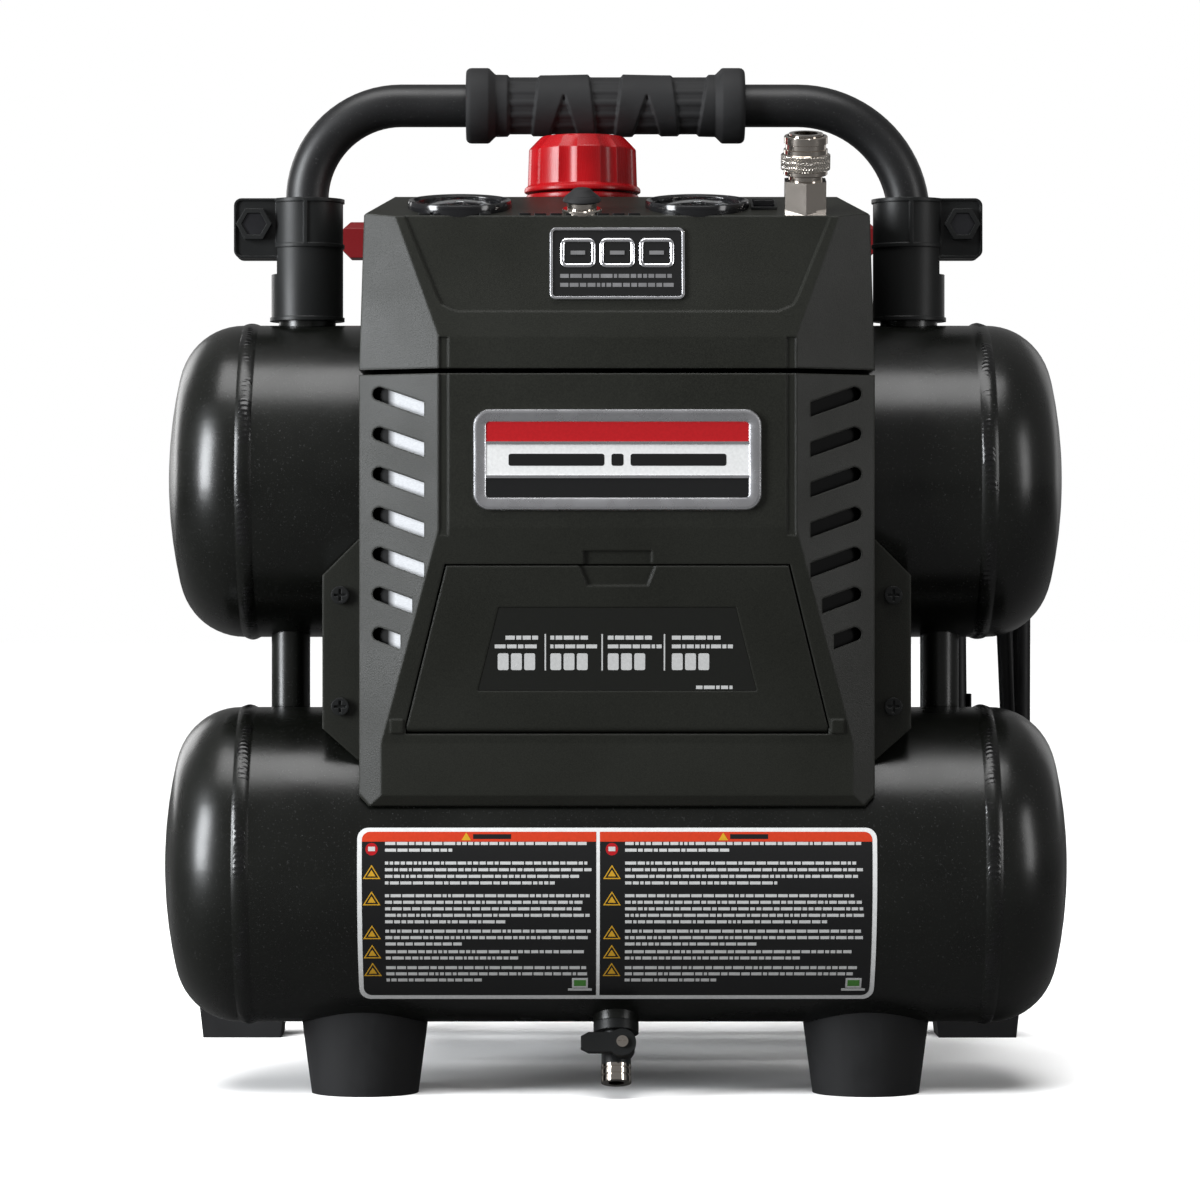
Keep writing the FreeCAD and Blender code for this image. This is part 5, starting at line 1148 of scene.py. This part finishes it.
def make_reset_boot():
    """The reset button's rubber boot and the plated ring that it sits over."""
    ring = bmesh.new()
    section = [(5.9, -12.0), (8.6, -12.0), (8.6, -0.4), (10.0, -0.4), (10.0, 1.4), (9.5, 2.0)]
    section += [(7.4, 2.0), (7.4, 4.9), (7.0, 5.3), (5.9, 5.3)]
    turned(ring, on_deck, RESET_PLACE, section)
    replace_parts(add_object("reset_collar", ring, NICKEL, "chassis", 30.0), "breaker_collar")
    boot = bmesh.new()
    section = [(0.4, -4.0), (5.5, -4.0), (5.5, 8.6), (7.8, 8.6), (7.8, 5.5), (9.3, 5.5), (9.6, 6.0)]
    section += [(9.4, 6.8), (8.4, 8.2), (7.2, 9.2), (6.0, 10.1), (4.9, 11.1), (4.4, 11.7), (3.2, 12.2)]
    section += [(0.4, 12.4)]
    rows = turned(boot, on_deck, RESET_PLACE, section, 64, False)
    boot.faces.new(rows[0][::-1])
    boot.faces.new(rows[-1])
    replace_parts(add_object("reset_boot", boot, RUBBER, "reset_button", 35.0), "reset_button")


# ---------------------------------------------------------------- power cord

COIL_X = 206.0
COIL_Y = 118.0
COIL_TOP = 312.5
COIL_DROP = 177.5
COIL_PITCH = 10.0
COIL_SOFT = 14.0
TAIL_TOP = 345.0


def make_cord():
    """The cord with its middle turns hanging slack, so that the strands fan out between the tanks."""
    bm = bmesh.new()
    bm.from_mesh(NODES["power_cord"].data)
    bmesh.ops.remove_doubles(bm, verts=bm.verts, dist=MERGE_WITHIN)
    for vertex in bm.verts:
        x, y, z = vertex.co.x / MM, vertex.co.y / MM - TANK_AXIS_Y, vertex.co.z / MM
        if x < COIL_X or z > TAIL_TOP or y < COIL_Y - 6:
            continue
        climb = COIL_PITCH / 2 * (COIL_TOP - z) / COIL_DROP
        turn = round((y - COIL_Y - climb) / COIL_PITCH)
        if turn in (1, 2):
            slack = blend_to(5.0, 13.0 - 3.0 * (turn - 1), smooth_step(z, 185.0, 262.0))
            vertex.co.x -= slack * smooth_step(x, COIL_X, COIL_X + COIL_SOFT) * MM
    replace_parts(add_object("cord", bm, CORD, body_of_node("power_cord"), 40.0), "power_cord")


# ---------------------------------------------------------------- build

for node_name, piece_name, width in (
        ("cover_tray", "tray_shell", 1.2), ("handle_connectors", "clamp_connectors", 0.9),
        ("rubber_feet", "feet", 1.6), ("regulator_panel_nut", "knob_ring", 0.8),
        ("gauge_cases", "gauge_bezels", 0.5), ("rear_handle", "lift_bar", 1.8)):
    moulded(node_name, piece_name, width)
for node_name, piece_name in (("console_cover", "console_shell"), ("front_cover", "cover_shell"),
                              ("storage_door", "door_panel"), ("coupler_body", "coupler_hex")):
    creased(node_name, piece_name)
make_grip()
make_knob()
make_knurl()
make_coupler_ring()
for name, axis, side in (("weld_upper_left", UPPER_AXIS, -1), ("weld_upper_right", UPPER_AXIS, 1),
                         ("weld_lower_left", LOWER_AXIS, -1), ("weld_lower_right", LOWER_AXIS, 1)):
    make_weld(name, axis, side)
make_badges()
make_rating_print()
make_label()
make_dials()
make_deck_marks()
make_gauge_collars()
make_reset_boot()
make_cord()
